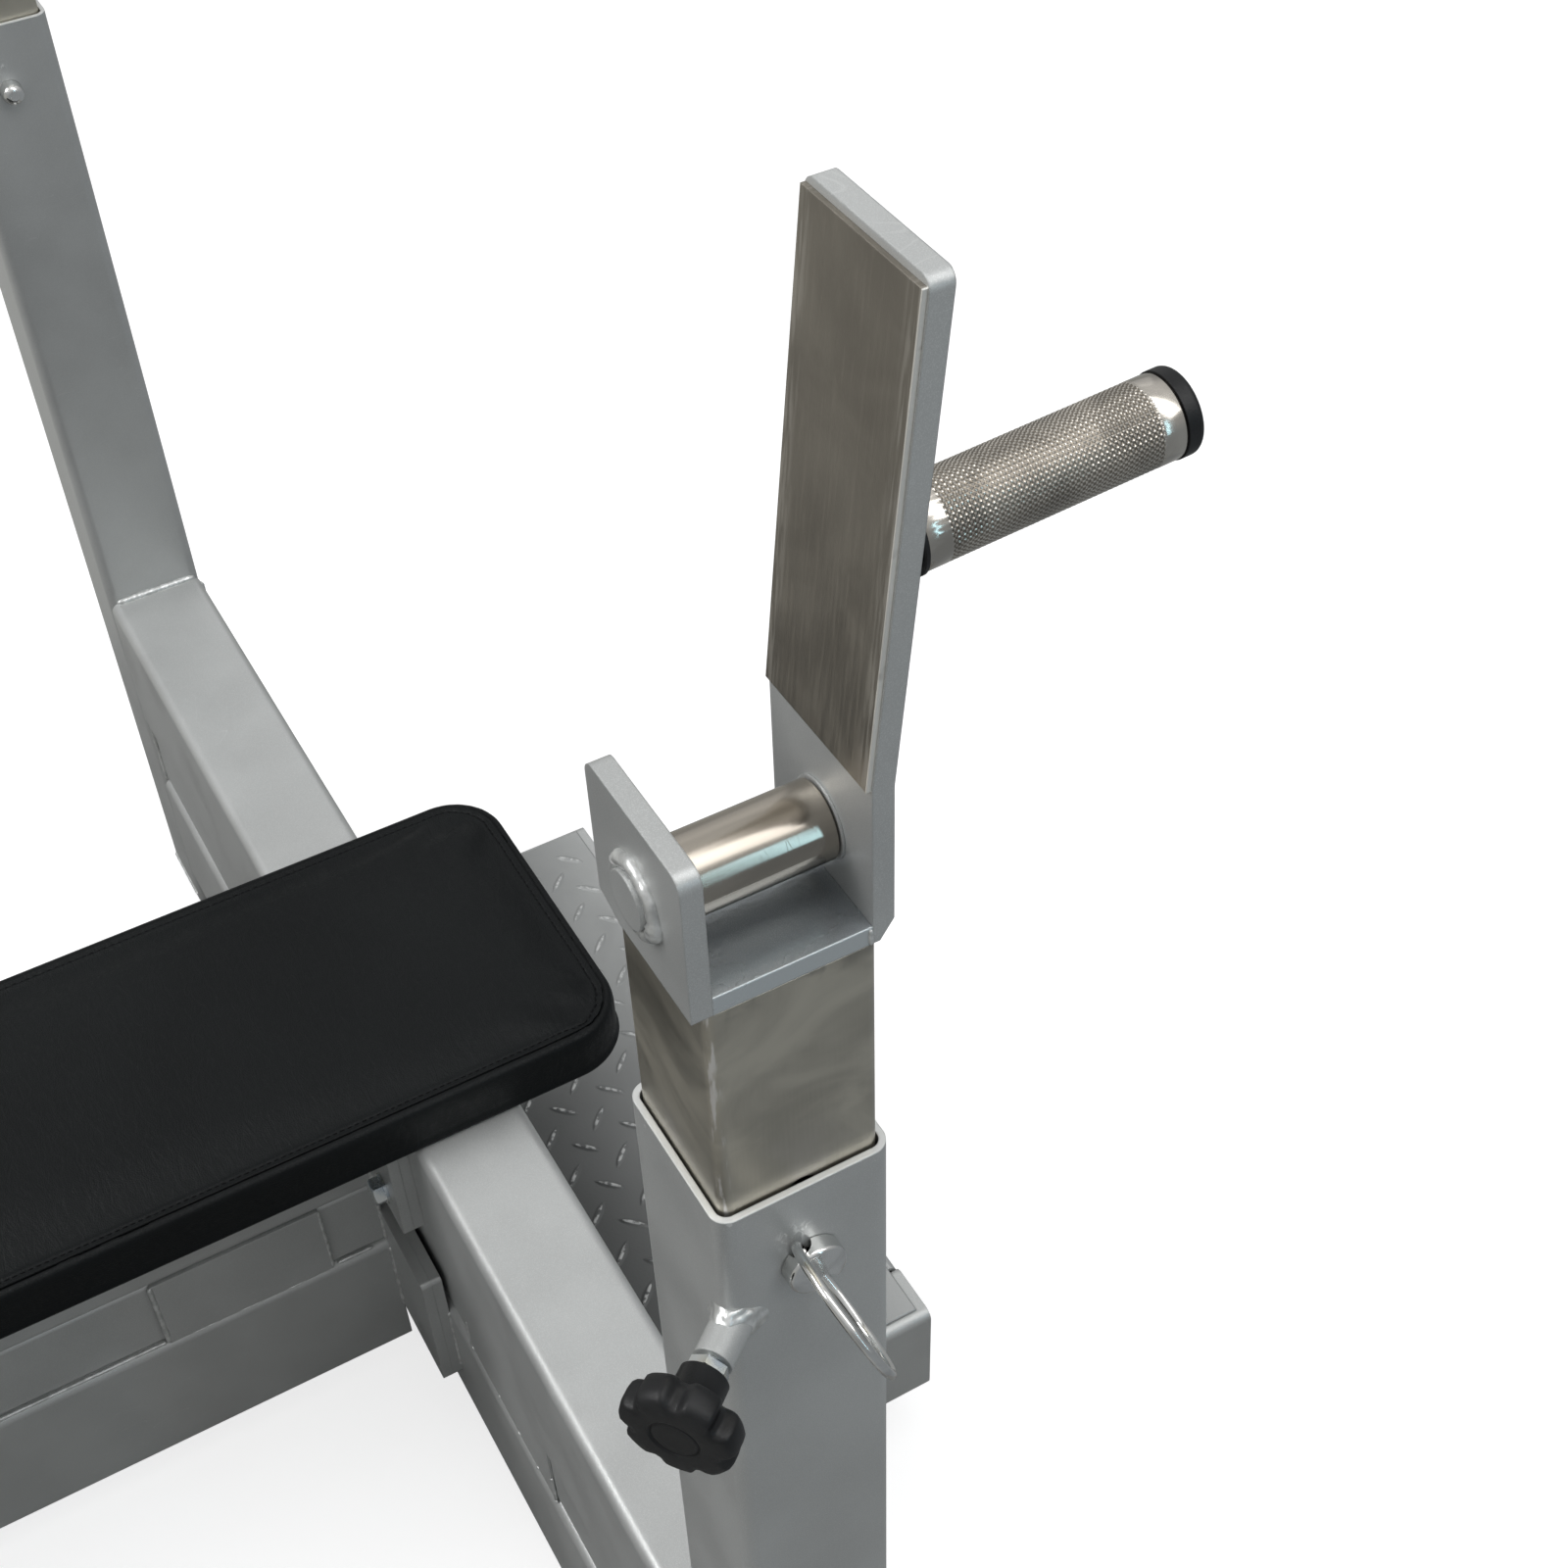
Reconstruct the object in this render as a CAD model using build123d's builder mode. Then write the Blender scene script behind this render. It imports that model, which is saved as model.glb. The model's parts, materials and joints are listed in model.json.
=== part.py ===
"""Olympic competition bench press with telescoping uprights, in millimetres, +Z up.

The lifter's head end is +Y, where the spotter platform stands. The origin is on the floor,
under the middle of the overall box.
"""
import os
from math import cos, radians, sin, sqrt, tan

from build123d import *

# ---- driving dimensions -------------------------------------------------------------------
TUBE = 80.0                  # outer width of every main tube
TUBE_R = 8.0                 # outer corner radius of the main tubes
TUBE_WALL = 4.0
FEET_T = 7.0                 # rubber foot thickness, the gap between steel and floor

HALF_INNER = 543.0           # middle plane to the inner face of each upright
BEAM_Y = 368.0               # front face of the crossbeam and of the uprights
BEAM_TOP = 389.0
UPPER_H = 140.0              # height of the upper main tube
MIDDLE = 72.0                # square tube between the upper and the lower main tube
LOWER_H = 130.0
SLEEVE_TOP = 910.0
SLEEVE_WALL = 3.0

POST = 72.0                  # square inner post
POST_R = 5.0
POST_WALL = 4.0
POST_TOP = SLEEVE_TOP + 121.0
POST_ENGAGED = 300.0         # length of post inside the sleeve

PLATE_T = 9.0                # cradle plate thickness
LIP_Y = BEAM_Y - 1.5         # front face of the cradle's front lip
LIP_TOP = SLEEVE_TOP + 194.0
GUIDE_Y = BEAM_Y + 73.5      # front face of the tall guide plate below its bend
BEND_Z = SLEEVE_TOP + 197.0
GUIDE_TILT = 6.0             # the guide leans back above its bend
GUIDE_TOP = SLEEVE_TOP + 393.0
STRIP_T = 2.0

ROLLER_R = 16.1
COLLAR_T = 1.0               # thin collar between the roller and the guide plate
AXLE_R = 8.0
RUNNING = 0.05               # radial clearance of every part that turns on a shaft
AXLE_Z = SLEEVE_TOP + 155.5
AXLE_HEAD_R = 12.0
AXLE_HEAD_T = 5.0

HANDLE_TILT = 3.5            # the handle rises a little towards its free end
HANDLE_Z = SLEEVE_TOP + 272.0
HANDLE_Y = BEAM_Y + 88.0     # where the handle's axis crosses HANDLE_Z
HANDLE_BOSS_R = 14.4
GRIP_R = 16.0
GRIP_START = 20.0            # distance of the grip from HANDLE_Y along the axis
GRIP_L = 104.5
BUSH_FLANGE = 1.5
BUSH_BODY = 14.0
CAP_T = 7.0
SNAP_BACK = 5.0              # the end bush snaps into a groove this far from the spindle's end
SNAP_W = 2.6
SNAP_DEPTH = 0.8
GRIP_WALL = 3.4

PIN_Z = SLEEVE_TOP - 49.0
PIN_R = 8.0
PIN_TIP = 12.0               # length of pin beyond the sleeve's inner face
SLOT_R = 8.4                 # half width of the slot in the post
TRAVEL = 120.0               # how far the post lifts
HOLE_PITCH = 42.0            # from the slot's top end to the round hole above it
PIN_HEAD_R = 13.5
PIN_HEAD_T = 8.0
RING_R = 31.0                # mean radius of the pull ring
RING_WIRE_R = 2.2
RING_LEAN = 22.0             # the ring's hole leans this far towards the front at its top
RING_SLANT = 18.0            # and this far towards the sleeve

CLAMP_Z = SLEEVE_TOP - 73.0
CLAMP_TURN = 38.0            # clamp axis, turned outward from straight ahead
BOSS_R = 8.8
BOSS_L = 15.0
STUD_R = 5.0
STUD_IN = 7.3                # stud tip, inside the sleeve's corner
NUT_AF = 16.0
NUT_START = 17.0
NUT_T = 4.0
KNOB_R = 26.0
KNOB_LOBES = 7
KNOB_HUB_R = 11.0
HUB_START = 22.0
STAR_START = 37.0
STAR_T = 16.0

SPINE_FRONT = BEAM_Y - 960.0
FLANGE_T = 8.0               # each of the two bolted plates
PAD_W = 268.0
PAD_CORNER = 45.0
PAD_T = 45.0
PAD_HEAD = BEAM_Y + 172.0
PAD_FOOT = BEAM_Y - 1048.0
BOARD_T = 12.0
BOARD_INSET = 5.0

PLATFORM_HALF = 300.0
PLATFORM_BACK = BEAM_Y + 312.0
PLATFORM_TOP = 170.0
TREAD_T = 4.0
RAIL_W = 50.0
RAIL_H = 100.0

# ---- derived places -----------------------------------------------------------------------
UPRIGHT_X = HALF_INNER + TUBE / 2
UPRIGHT_Y = BEAM_Y + TUBE / 2
OUTER_X = HALF_INNER + TUBE
UPPER_Z = BEAM_TOP - UPPER_H
MIDDLE_Z = UPPER_Z - MIDDLE
LOWER_Z = MIDDLE_Z - LOWER_H
SLEEVE_BOTTOM = FEET_T + 8.0
SPINE_BACK = BEAM_Y - 2 * FLANGE_T
FOOT_TUBE_H = LOWER_Z - FEET_T

os.makedirs("parts", exist_ok=True)


def save(part, label):
    """Name one finished piece and write its STEP file."""
    part.label = label
    export_step(part, f"parts/{label}.step")


def save_pair(part, label):
    """Write a piece of the right upright and its mirror image on the left."""
    save(part, f"{label}_right")
    save(mirror(part, about=Plane.YZ), f"{label}_left")


def tube(plane, centre, width, height, length, wall, radius):
    """A straight rectangular tube with rounded corners, drawn on its end plane."""
    with BuildPart() as part:
        with BuildSketch(plane):
            with Locations(centre):
                RectangleRounded(width, height, radius)
                RectangleRounded(width - 2 * wall, height - 2 * wall, max(radius - wall, 1.0),
                                 mode=Mode.SUBTRACT)
        extrude(amount=length)
    return part.part


def block(low, high):
    """A plain rectangular plate between two corners."""
    centre = [(a + b) / 2 for a, b in zip(low, high)]
    with BuildPart() as part:
        with Locations(tuple(centre)):
            Box(*[b - a for a, b in zip(low, high)])
    return part.part


def group(name, pieces):
    """Several separate solids that share one node."""
    save(Compound(children=list(pieces)), name)


# ---- crossbeam ----------------------------------------------------------------------------
def crossbeam():
    end = Plane.YZ.offset(-HALF_INNER)
    length = 2 * HALF_INNER
    save(tube(end, (UPRIGHT_Y, UPPER_Z + UPPER_H / 2), TUBE, UPPER_H, length, TUBE_WALL, TUBE_R),
         "crossbeam_upper")
    save(tube(end, (UPRIGHT_Y, MIDDLE_Z + MIDDLE / 2), MIDDLE, MIDDLE, length, TUBE_WALL, POST_R),
         "crossbeam_middle")
    save(tube(end, (UPRIGHT_Y, LOWER_Z + LOWER_H / 2), TUBE, LOWER_H, length, TUBE_WALL, TUBE_R),
         "crossbeam_lower")


SPINE_FILLER_GAP = 0.5       # the cover strips sit this far below the main tubes' faces
BEAM_FILLER_GAP = 2.2
BEAM_FILLER = (155.0, 300.0)
SPINE_FILLER = (-191.0, -61.0)


def fillers():
    """Cover strips welded over the step between the upper and the lower tubes."""
    depth = (TUBE - MIDDLE) / 2
    x0, x1 = BEAM_FILLER
    strip = block((x0, BEAM_Y + BEAM_FILLER_GAP, MIDDLE_Z), (x1, BEAM_Y + depth, UPPER_Z))
    group("crossbeam_fillers", [strip, mirror(strip, about=Plane.YZ)])
    y0, y1 = [BEAM_Y + y for y in SPINE_FILLER]
    sides = [block((MIDDLE / 2, y0, MIDDLE_Z), (TUBE / 2 - SPINE_FILLER_GAP, y1, UPPER_Z)),
             block((SPINE_FILLER_GAP - TUBE / 2, y0, MIDDLE_Z), (-MIDDLE / 2, y1, UPPER_Z))]
    group("spine_fillers", sides)


# ---- spine, its bolted joint and the front foot -------------------------------------------
FRONT_PLATE_T = 5.0
FRONT_FOOT_HALF = 250.0
UPPER_FLANGE = (106.0, 268.0, 380.0)      # half width, bottom, top
LOWER_FLANGE = (117.0, 88.0, 215.0)
BOLT_X = 78.0
BOLT_Z = 294.0
BOLT_R = 6.0
BOLT_AF = 19.0
BOLT_HEAD = 8.0
WASHER_T = 2.5
WASHER_R = 12.0


def spine():
    end = Plane.XZ.offset(-SPINE_BACK)
    length = SPINE_BACK - SPINE_FRONT
    save(tube(end, (0, UPPER_Z + UPPER_H / 2), TUBE, UPPER_H, length, TUBE_WALL, TUBE_R), "spine_upper")
    save(tube(end, (0, MIDDLE_Z + MIDDLE / 2), MIDDLE, MIDDLE, length, TUBE_WALL, POST_R), "spine_middle")
    save(tube(end, (0, LOWER_Z + LOWER_H / 2), TUBE, LOWER_H, length, TUBE_WALL, TUBE_R), "spine_lower")
    with BuildPart() as front_plate:
        with BuildSketch(Plane.XZ.offset(-SPINE_FRONT)):
            with Locations((0, (BEAM_TOP + LOWER_Z) / 2)):
                RectangleRounded(TUBE, BEAM_TOP - LOWER_Z, TUBE_R)
        extrude(amount=FRONT_PLATE_T)
    save(front_plate.part, "spine_front_plate")


def flange_plate(y_front, half, bottom, top, bolts):
    """One plate of the bolted joint, with its two bolt holes when it has bolts."""
    with BuildPart() as plate:
        with BuildSketch(Plane.XZ.offset(-y_front)):
            with Locations((0, (bottom + top) / 2)):
                RectangleRounded(2 * half, top - bottom, 4)
            if bolts:
                with Locations((BOLT_X, BOLT_Z), (-BOLT_X, BOLT_Z)):
                    Circle(BOLT_R, mode=Mode.SUBTRACT)
        extrude(amount=-FLANGE_T)
    return plate.part


def spine_joint():
    fronts = (SPINE_BACK, BEAM_Y - FLANGE_T)
    plates = [flange_plate(y, *UPPER_FLANGE, True) for y in fronts]
    plates += [flange_plate(y, *LOWER_FLANGE, False) for y in fronts]
    group("flange_plates", plates)
    bolts = []
    washers = []
    for x in (BOLT_X, -BOLT_X):
        with BuildPart() as bolt:
            with BuildSketch(Plane.XZ.offset(WASHER_T - SPINE_BACK)):
                with Locations((x, BOLT_Z)):
                    RegularPolygon(BOLT_AF / 2, 6, major_radius=False)
            extrude(amount=BOLT_HEAD)
            with BuildSketch(Plane.XZ.offset(WASHER_T - SPINE_BACK)):
                with Locations((x, BOLT_Z)):
                    Circle(BOLT_R)
            extrude(amount=-(WASHER_T + 2 * FLANGE_T))
        bolts.append(bolt.part)
        with BuildPart() as washer:
            with BuildSketch(Plane.XZ.offset(-SPINE_BACK)):
                with Locations((x, BOLT_Z)):
                    Circle(WASHER_R)
                    Circle(BOLT_R, mode=Mode.SUBTRACT)
            extrude(amount=WASHER_T)
        washers.append(washer.part)
    group("flange_bolts", bolts)
    group("flange_washers", washers)


def front_foot():
    centre = (SPINE_FRONT + TUBE / 2, FEET_T + FOOT_TUBE_H / 2)
    end = Plane.YZ.offset(-FRONT_FOOT_HALF)
    save(tube(end, centre, TUBE, FOOT_TUBE_H, 2 * FRONT_FOOT_HALF, 3.0, 6.0), "front_foot_tube")
    caps = []
    for side in (1, -1):
        with BuildPart() as cap:
            with BuildSketch(Plane.YZ.offset(side * FRONT_FOOT_HALF)):
                with Locations(centre):
                    RectangleRounded(TUBE, FOOT_TUBE_H, 6)
            extrude(amount=side * 3)
            with BuildSketch(Plane.YZ.offset(side * FRONT_FOOT_HALF)):
                with Locations(centre):
                    RectangleRounded(TUBE - 7, FOOT_TUBE_H - 7, 3)
            extrude(amount=-side * 14)
        caps.append(cap.part)
    group("front_foot_caps", caps)


# ---- pad ----------------------------------------------------------------------------------
TAB_T = 6.0
TAB_REACH = 62.0
TAB_W = 50.0
TAB_PLACES = (-140.0, -470.0, -800.0)
SCREW_R = 4.0
SCREW_HEAD_R = 6.5
SCREW_HEAD = 5.0


def pad():
    middle = (PAD_HEAD + PAD_FOOT) / 2
    length = PAD_HEAD - PAD_FOOT
    screw_spots = [(s * (TUBE / 2 + TAB_REACH - 20), BEAM_Y + y) for s in (1, -1) for y in TAB_PLACES]
    with BuildPart() as board:
        with BuildSketch(Plane.XY.offset(BEAM_TOP)):
            with Locations((0, middle)):
                RectangleRounded(PAD_W - 2 * BOARD_INSET, length - 2 * BOARD_INSET, PAD_CORNER - BOARD_INSET)
            with Locations(*screw_spots):
                Circle(SCREW_R, mode=Mode.SUBTRACT)
        extrude(amount=BOARD_T)
    save(board.part, "pad_board")
    with BuildPart() as cushion:
        with BuildSketch(Plane.XY.offset(BEAM_TOP)):
            with Locations((0, middle)):
                RectangleRounded(PAD_W, length, PAD_CORNER)
        extrude(amount=PAD_T)
        fillet(cushion.faces().sort_by(Axis.Z)[-1].edges(), 6)
        with BuildSketch(Plane.XY.offset(BEAM_TOP)):
            with Locations((0, middle)):
                RectangleRounded(PAD_W - 2 * BOARD_INSET, length - 2 * BOARD_INSET, PAD_CORNER - BOARD_INSET)
        extrude(amount=BOARD_T, mode=Mode.SUBTRACT)
    save(cushion.part, "pad_cushion")

    tabs = []
    for side in (1, -1):
        for y in TAB_PLACES:
            with BuildPart() as tab:
                with BuildSketch(Plane.XY.offset(BEAM_TOP - TAB_T)):
                    with Locations((side * (TUBE + TAB_REACH) / 2, BEAM_Y + y)):
                        Rectangle(TAB_REACH, TAB_W)
                    with Locations((side * (TUBE / 2 + TAB_REACH - 20), BEAM_Y + y)):
                        Circle(SCREW_R, mode=Mode.SUBTRACT)
                extrude(amount=TAB_T)
                with BuildPart(mode=Mode.PRIVATE) as rail:
                    with BuildSketch(Plane.XZ.offset(-SPINE_BACK)):
                        with Locations((0, UPPER_Z + UPPER_H / 2)):
                            RectangleRounded(TUBE, UPPER_H, TUBE_R)
                    extrude(amount=SPINE_BACK - SPINE_FRONT)
                add(rail.part, mode=Mode.SUBTRACT)
            tabs.append(tab.part)
    group("pad_tabs", tabs)

    screws = []
    for spot in screw_spots:
        with BuildPart() as screw:
            with BuildSketch(Plane.XY.offset(BEAM_TOP - TAB_T)):
                with Locations(spot):
                    Circle(SCREW_HEAD_R)
            extrude(amount=-SCREW_HEAD)
            with BuildSketch(Plane.XY.offset(BEAM_TOP - TAB_T)):
                with Locations(spot):
                    Circle(SCREW_R)
            extrude(amount=TAB_T + BOARD_T - 2)
        screws.append(screw.part)
    group("pad_screws", screws)


# ---- spotter platform ---------------------------------------------------------------------
LEG = 40.0
LEG_X = 150.0
TREAD_INSET = 8.0


def platform():
    rail_z = PLATFORM_TOP - TREAD_T - RAIL_H / 2
    beam_back = BEAM_Y + TUBE
    rails = [tube(Plane.XZ.offset(-PLATFORM_BACK), (x, rail_z), RAIL_W, RAIL_H,
                  PLATFORM_BACK - beam_back, 3.0, TUBE_R)
             for x in (PLATFORM_HALF - RAIL_W / 2, RAIL_W / 2 - PLATFORM_HALF)]
    group("platform_end_rails", rails)
    closers = []
    for x in (PLATFORM_HALF - RAIL_W / 2, RAIL_W / 2 - PLATFORM_HALF):
        with BuildPart() as closer:
            with BuildSketch(Plane.XZ.offset(-PLATFORM_BACK)):
                with Locations((x, rail_z)):
                    RectangleRounded(RAIL_W - 7, RAIL_H - 7, 4)
            extrude(amount=3)
        closers.append(closer.part)
    group("platform_end_plates", closers)
    half = PLATFORM_HALF - RAIL_W
    save(tube(Plane.YZ.offset(-half), (PLATFORM_BACK - RAIL_W / 2, rail_z), RAIL_W, RAIL_H, 2 * half,
              3.0, TUBE_R), "platform_rear_rail")
    with BuildPart() as tread:
        with BuildSketch(Plane.XY.offset(PLATFORM_TOP - TREAD_T)):
            with Locations((0, (beam_back + 1 + PLATFORM_BACK - TREAD_INSET) / 2)):
                Rectangle(2 * (PLATFORM_HALF - TREAD_INSET), PLATFORM_BACK - TREAD_INSET - beam_back - 1)
        extrude(amount=TREAD_T)
    save(tread.part, "platform_tread_plate")
    bottom = PLATFORM_TOP - TREAD_T - RAIL_H
    legs = [tube(Plane.XY.offset(FEET_T), (x, PLATFORM_BACK - RAIL_W / 2), LEG, LEG, bottom - FEET_T,
                 3.0, 5.0) for x in (LEG_X, -LEG_X)]
    group("platform_legs", legs)


# ---- uprights -----------------------------------------------------------------------------
def clamp_plane(distance):
    """Plane square to the right clamp's axis, this far out from the sleeve's corner."""
    out = Vector(sin(radians(CLAMP_TURN)), -cos(radians(CLAMP_TURN)), 0)
    corner = Vector(OUTER_X, BEAM_Y, CLAMP_Z)
    return Plane(origin=corner + out * distance, x_dir=(0, 0, 1), z_dir=out)


def pin_plane(x):
    return Plane(origin=(x, UPRIGHT_Y, PIN_Z), x_dir=(0, 1, 0), z_dir=(1, 0, 0))


def sleeve():
    with BuildPart() as part:
        with BuildSketch(Plane.XY.offset(SLEEVE_BOTTOM)):
            with Locations((UPRIGHT_X, UPRIGHT_Y)):
                RectangleRounded(TUBE, TUBE, TUBE_R)
                RectangleRounded(TUBE - 2 * SLEEVE_WALL, TUBE - 2 * SLEEVE_WALL, TUBE_R - SLEEVE_WALL,
                                 mode=Mode.SUBTRACT)
        extrude(amount=SLEEVE_TOP - SLEEVE_BOTTOM)
        with BuildSketch(pin_plane(HALF_INNER - 1)):
            Circle(PIN_R + RUNNING)
        extrude(amount=TUBE + 2, mode=Mode.SUBTRACT)
        with BuildSketch(clamp_plane(-12)):
            Circle(STUD_R + 0.4)
        extrude(amount=20, mode=Mode.SUBTRACT)
    save_pair(part.part, "sleeve")


def clamp_boss():
    """Threaded boss welded over the sleeve's front outer corner."""
    with BuildPart() as boss:
        with BuildSketch(clamp_plane(-12)):
            Circle(BOSS_R)
            Circle(STUD_R + RUNNING, mode=Mode.SUBTRACT)
        extrude(amount=12 + BOSS_L)
        with BuildSketch(Plane.XY.offset(CLAMP_Z - 20)):
            with Locations((UPRIGHT_X, UPRIGHT_Y)):
                RectangleRounded(TUBE, TUBE, TUBE_R)
        extrude(amount=40, mode=Mode.SUBTRACT)
    group("clamp_bosses", [boss.part, mirror(boss.part, about=Plane.YZ)])


def clamp_stud():
    """Clamping stud, its tip just short of the post's corner, and the nut behind the knob."""
    with BuildPart() as stud:
        with BuildSketch(clamp_plane(-STUD_IN)):
            Circle(STUD_R)
        extrude(amount=STUD_IN + STAR_START + 6)
    save_pair(stud.part, "clamp_stud")
    with BuildPart() as nut:
        with BuildSketch(clamp_plane(NUT_START)):
            RegularPolygon(NUT_AF / 2, 6, major_radius=False)
            Circle(STUD_R + RUNNING, mode=Mode.SUBTRACT)
        extrude(amount=NUT_T)
    save_pair(nut.part, "clamp_nut")


def star_knob():
    lobe_r = 6.5
    scoop_r = 10.0
    with BuildPart() as knob:
        with BuildSketch(clamp_plane(STAR_START)):
            Circle(KNOB_R)
            with PolarLocations(KNOB_R + scoop_r - 4.2, KNOB_LOBES):
                Circle(scoop_r, mode=Mode.SUBTRACT)
        extrude(amount=STAR_T)
        axis = Axis((0, 0, 0), clamp_plane(0).z_dir)
        fillet(knob.edges().group_by(axis)[-1] + knob.edges().group_by(axis)[0], 1.6)
        with BuildSketch(clamp_plane(HUB_START)):
            Circle(KNOB_HUB_R)
        extrude(amount=STAR_START - HUB_START)
        with BuildSketch(clamp_plane(HUB_START)):
            Circle(STUD_R)
        extrude(amount=STAR_START + 6 - HUB_START, mode=Mode.SUBTRACT)
        with BuildSketch(clamp_plane(STAR_START + STAR_T)):
            Circle(lobe_r + 4.5)
            Circle(lobe_r + 3.0, mode=Mode.SUBTRACT)
        extrude(amount=-1.2, mode=Mode.SUBTRACT)
    save_pair(knob.part, "star_knob")


def post():
    """Sliding inner post: it rests on the pin, and a slot below lets it be lifted."""
    slot_top = PIN_Z + PIN_R + RUNNING
    slot_l = TRAVEL + 2 * SLOT_R + 1
    side = Plane(origin=(UPRIGHT_X - POST / 2 - 1, UPRIGHT_Y, slot_top), x_dir=(0, 1, 0), z_dir=(1, 0, 0))
    with BuildPart() as part:
        with BuildSketch(Plane.XY.offset(SLEEVE_TOP - POST_ENGAGED)):
            with Locations((UPRIGHT_X, UPRIGHT_Y)):
                RectangleRounded(POST, POST, POST_R)
                RectangleRounded(POST - 2 * POST_WALL, POST - 2 * POST_WALL, 1.5, mode=Mode.SUBTRACT)
        extrude(amount=POST_TOP - SLEEVE_TOP + POST_ENGAGED)
        with BuildSketch(side):
            with Locations((0, -slot_l / 2)):
                SlotOverall(slot_l, 2 * SLOT_R, rotation=90)
            with Locations((0, HOLE_PITCH - SLOT_R)):
                Circle(SLOT_R)
        extrude(amount=POST + 2, mode=Mode.SUBTRACT)
    save_pair(part.part, "post_tube")


# ---- cradle -------------------------------------------------------------------------------
LIP_CLIP = (16.0, 6.0)       # clipped lower corner of the lip plate, across and up


def cradle_plates():
    left = UPRIGHT_X - POST / 2
    right = UPRIGHT_X + POST / 2
    base = block((left, LIP_Y + PLATE_T, POST_TOP), (right, GUIDE_Y, POST_TOP + PLATE_T))
    save_pair(base, "cradle_base")
    with BuildPart() as lip:
        with BuildSketch(Plane.XZ.offset(-LIP_Y)):
            with BuildLine():
                Polyline((right, POST_TOP), (right, LIP_TOP), (left, LIP_TOP), (left, POST_TOP + LIP_CLIP[1]),
                         (left + LIP_CLIP[0], POST_TOP), close=True)
            make_face()
            with Locations((UPRIGHT_X, AXLE_Z)):
                Circle(AXLE_R, mode=Mode.SUBTRACT)
        extrude(amount=-PLATE_T)
        fillet(lip.edges().filter_by(Axis.Y).group_by(Axis.Z)[-1], 7)
    save_pair(lip.part, "cradle_lip")


def guide_offset(z, offset):
    """Y of a line that runs parallel to the guide's front face at this height."""
    lean = max(z - BEND_Z, 0) * tan(radians(GUIDE_TILT))
    return GUIDE_Y + offset + lean


def guide_plate():
    """Tall plate with a bend: upright beside the roller, leaning back above it."""
    depth = PLATE_T / cos(radians(GUIDE_TILT))
    back = GUIDE_Y + PLATE_T
    with BuildPart() as guide:
        with BuildSketch(Plane.YZ.offset(UPRIGHT_X - POST / 2)):
            with BuildLine():
                Polyline((GUIDE_Y, POST_TOP), (GUIDE_Y, BEND_Z), (guide_offset(GUIDE_TOP, 0), GUIDE_TOP),
                         (guide_offset(GUIDE_TOP, depth), GUIDE_TOP), (back, BEND_Z), (back, POST_TOP + 9),
                         (back - 6, POST_TOP), close=True)
            make_face()
        extrude(amount=POST)
        with BuildSketch(Plane.XZ.offset(1 - GUIDE_Y)):
            with Locations((UPRIGHT_X, AXLE_Z)):
                Circle(AXLE_R)
        extrude(amount=-(PLATE_T + 2), mode=Mode.SUBTRACT)
        fillet(guide.edges().filter_by(Axis.Y).group_by(Axis.Z)[-1], 5)
    save_pair(guide.part, "cradle_guide")


STRIP_MARGIN = 0.8


def wear_strip():
    """Bare steel strip on the leaning part of the guide, where the bar slides in."""
    low = BEND_Z + 1
    high = GUIDE_TOP - 3
    with BuildPart() as strip:
        with BuildSketch(Plane.YZ.offset(UPRIGHT_X - POST / 2 + STRIP_MARGIN)):
            with BuildLine():
                Polyline((guide_offset(low, -STRIP_T), low), (guide_offset(high, -STRIP_T), high),
                         (guide_offset(high, 0), high), (guide_offset(low, 0), low), close=True)
            make_face()
        extrude(amount=POST - 2 * STRIP_MARGIN)
    save_pair(strip.part, "wear_strip")


def roller():
    start = LIP_Y + PLATE_T + 0.5
    stop = GUIDE_Y - COLLAR_T - 0.3
    axle_back = GUIDE_Y + PLATE_T + 3
    with BuildPart() as axle:
        with BuildSketch(Plane.XZ.offset(-axle_back)):
            with Locations((UPRIGHT_X, AXLE_Z)):
                Circle(AXLE_R)
        extrude(amount=axle_back - LIP_Y)
        with BuildSketch(Plane.XZ.offset(-LIP_Y)):
            with Locations((UPRIGHT_X, AXLE_Z)):
                Circle(AXLE_HEAD_R)
        extrude(amount=AXLE_HEAD_T)
        with BuildSketch(Plane.XZ.offset(-GUIDE_Y)):
            with Locations((UPRIGHT_X, AXLE_Z)):
                Circle(ROLLER_R + 1)
        extrude(amount=COLLAR_T)
    save_pair(axle.part, "roller_axle")
    with BuildPart() as drum:
        with BuildSketch(Plane.XZ.offset(-stop)):
            with Locations((UPRIGHT_X, AXLE_Z)):
                Circle(ROLLER_R)
                Circle(AXLE_R + RUNNING, mode=Mode.SUBTRACT)
        extrude(amount=stop - start)
        chamfer(drum.edges().filter_by(GeomType.CIRCLE), 0.8)
    save_pair(drum.part, "roller")


# ---- lift handle --------------------------------------------------------------------------
def handle_plane(distance):
    """Plane square to the handle's axis, this far along it from the guide plate."""
    out = Vector(0, cos(radians(HANDLE_TILT)), sin(radians(HANDLE_TILT)))
    start = Vector(UPRIGHT_X, HANDLE_Y, HANDLE_Z)
    return Plane(origin=start + out * distance, x_dir=(1, 0, 0), z_dir=out)


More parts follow.
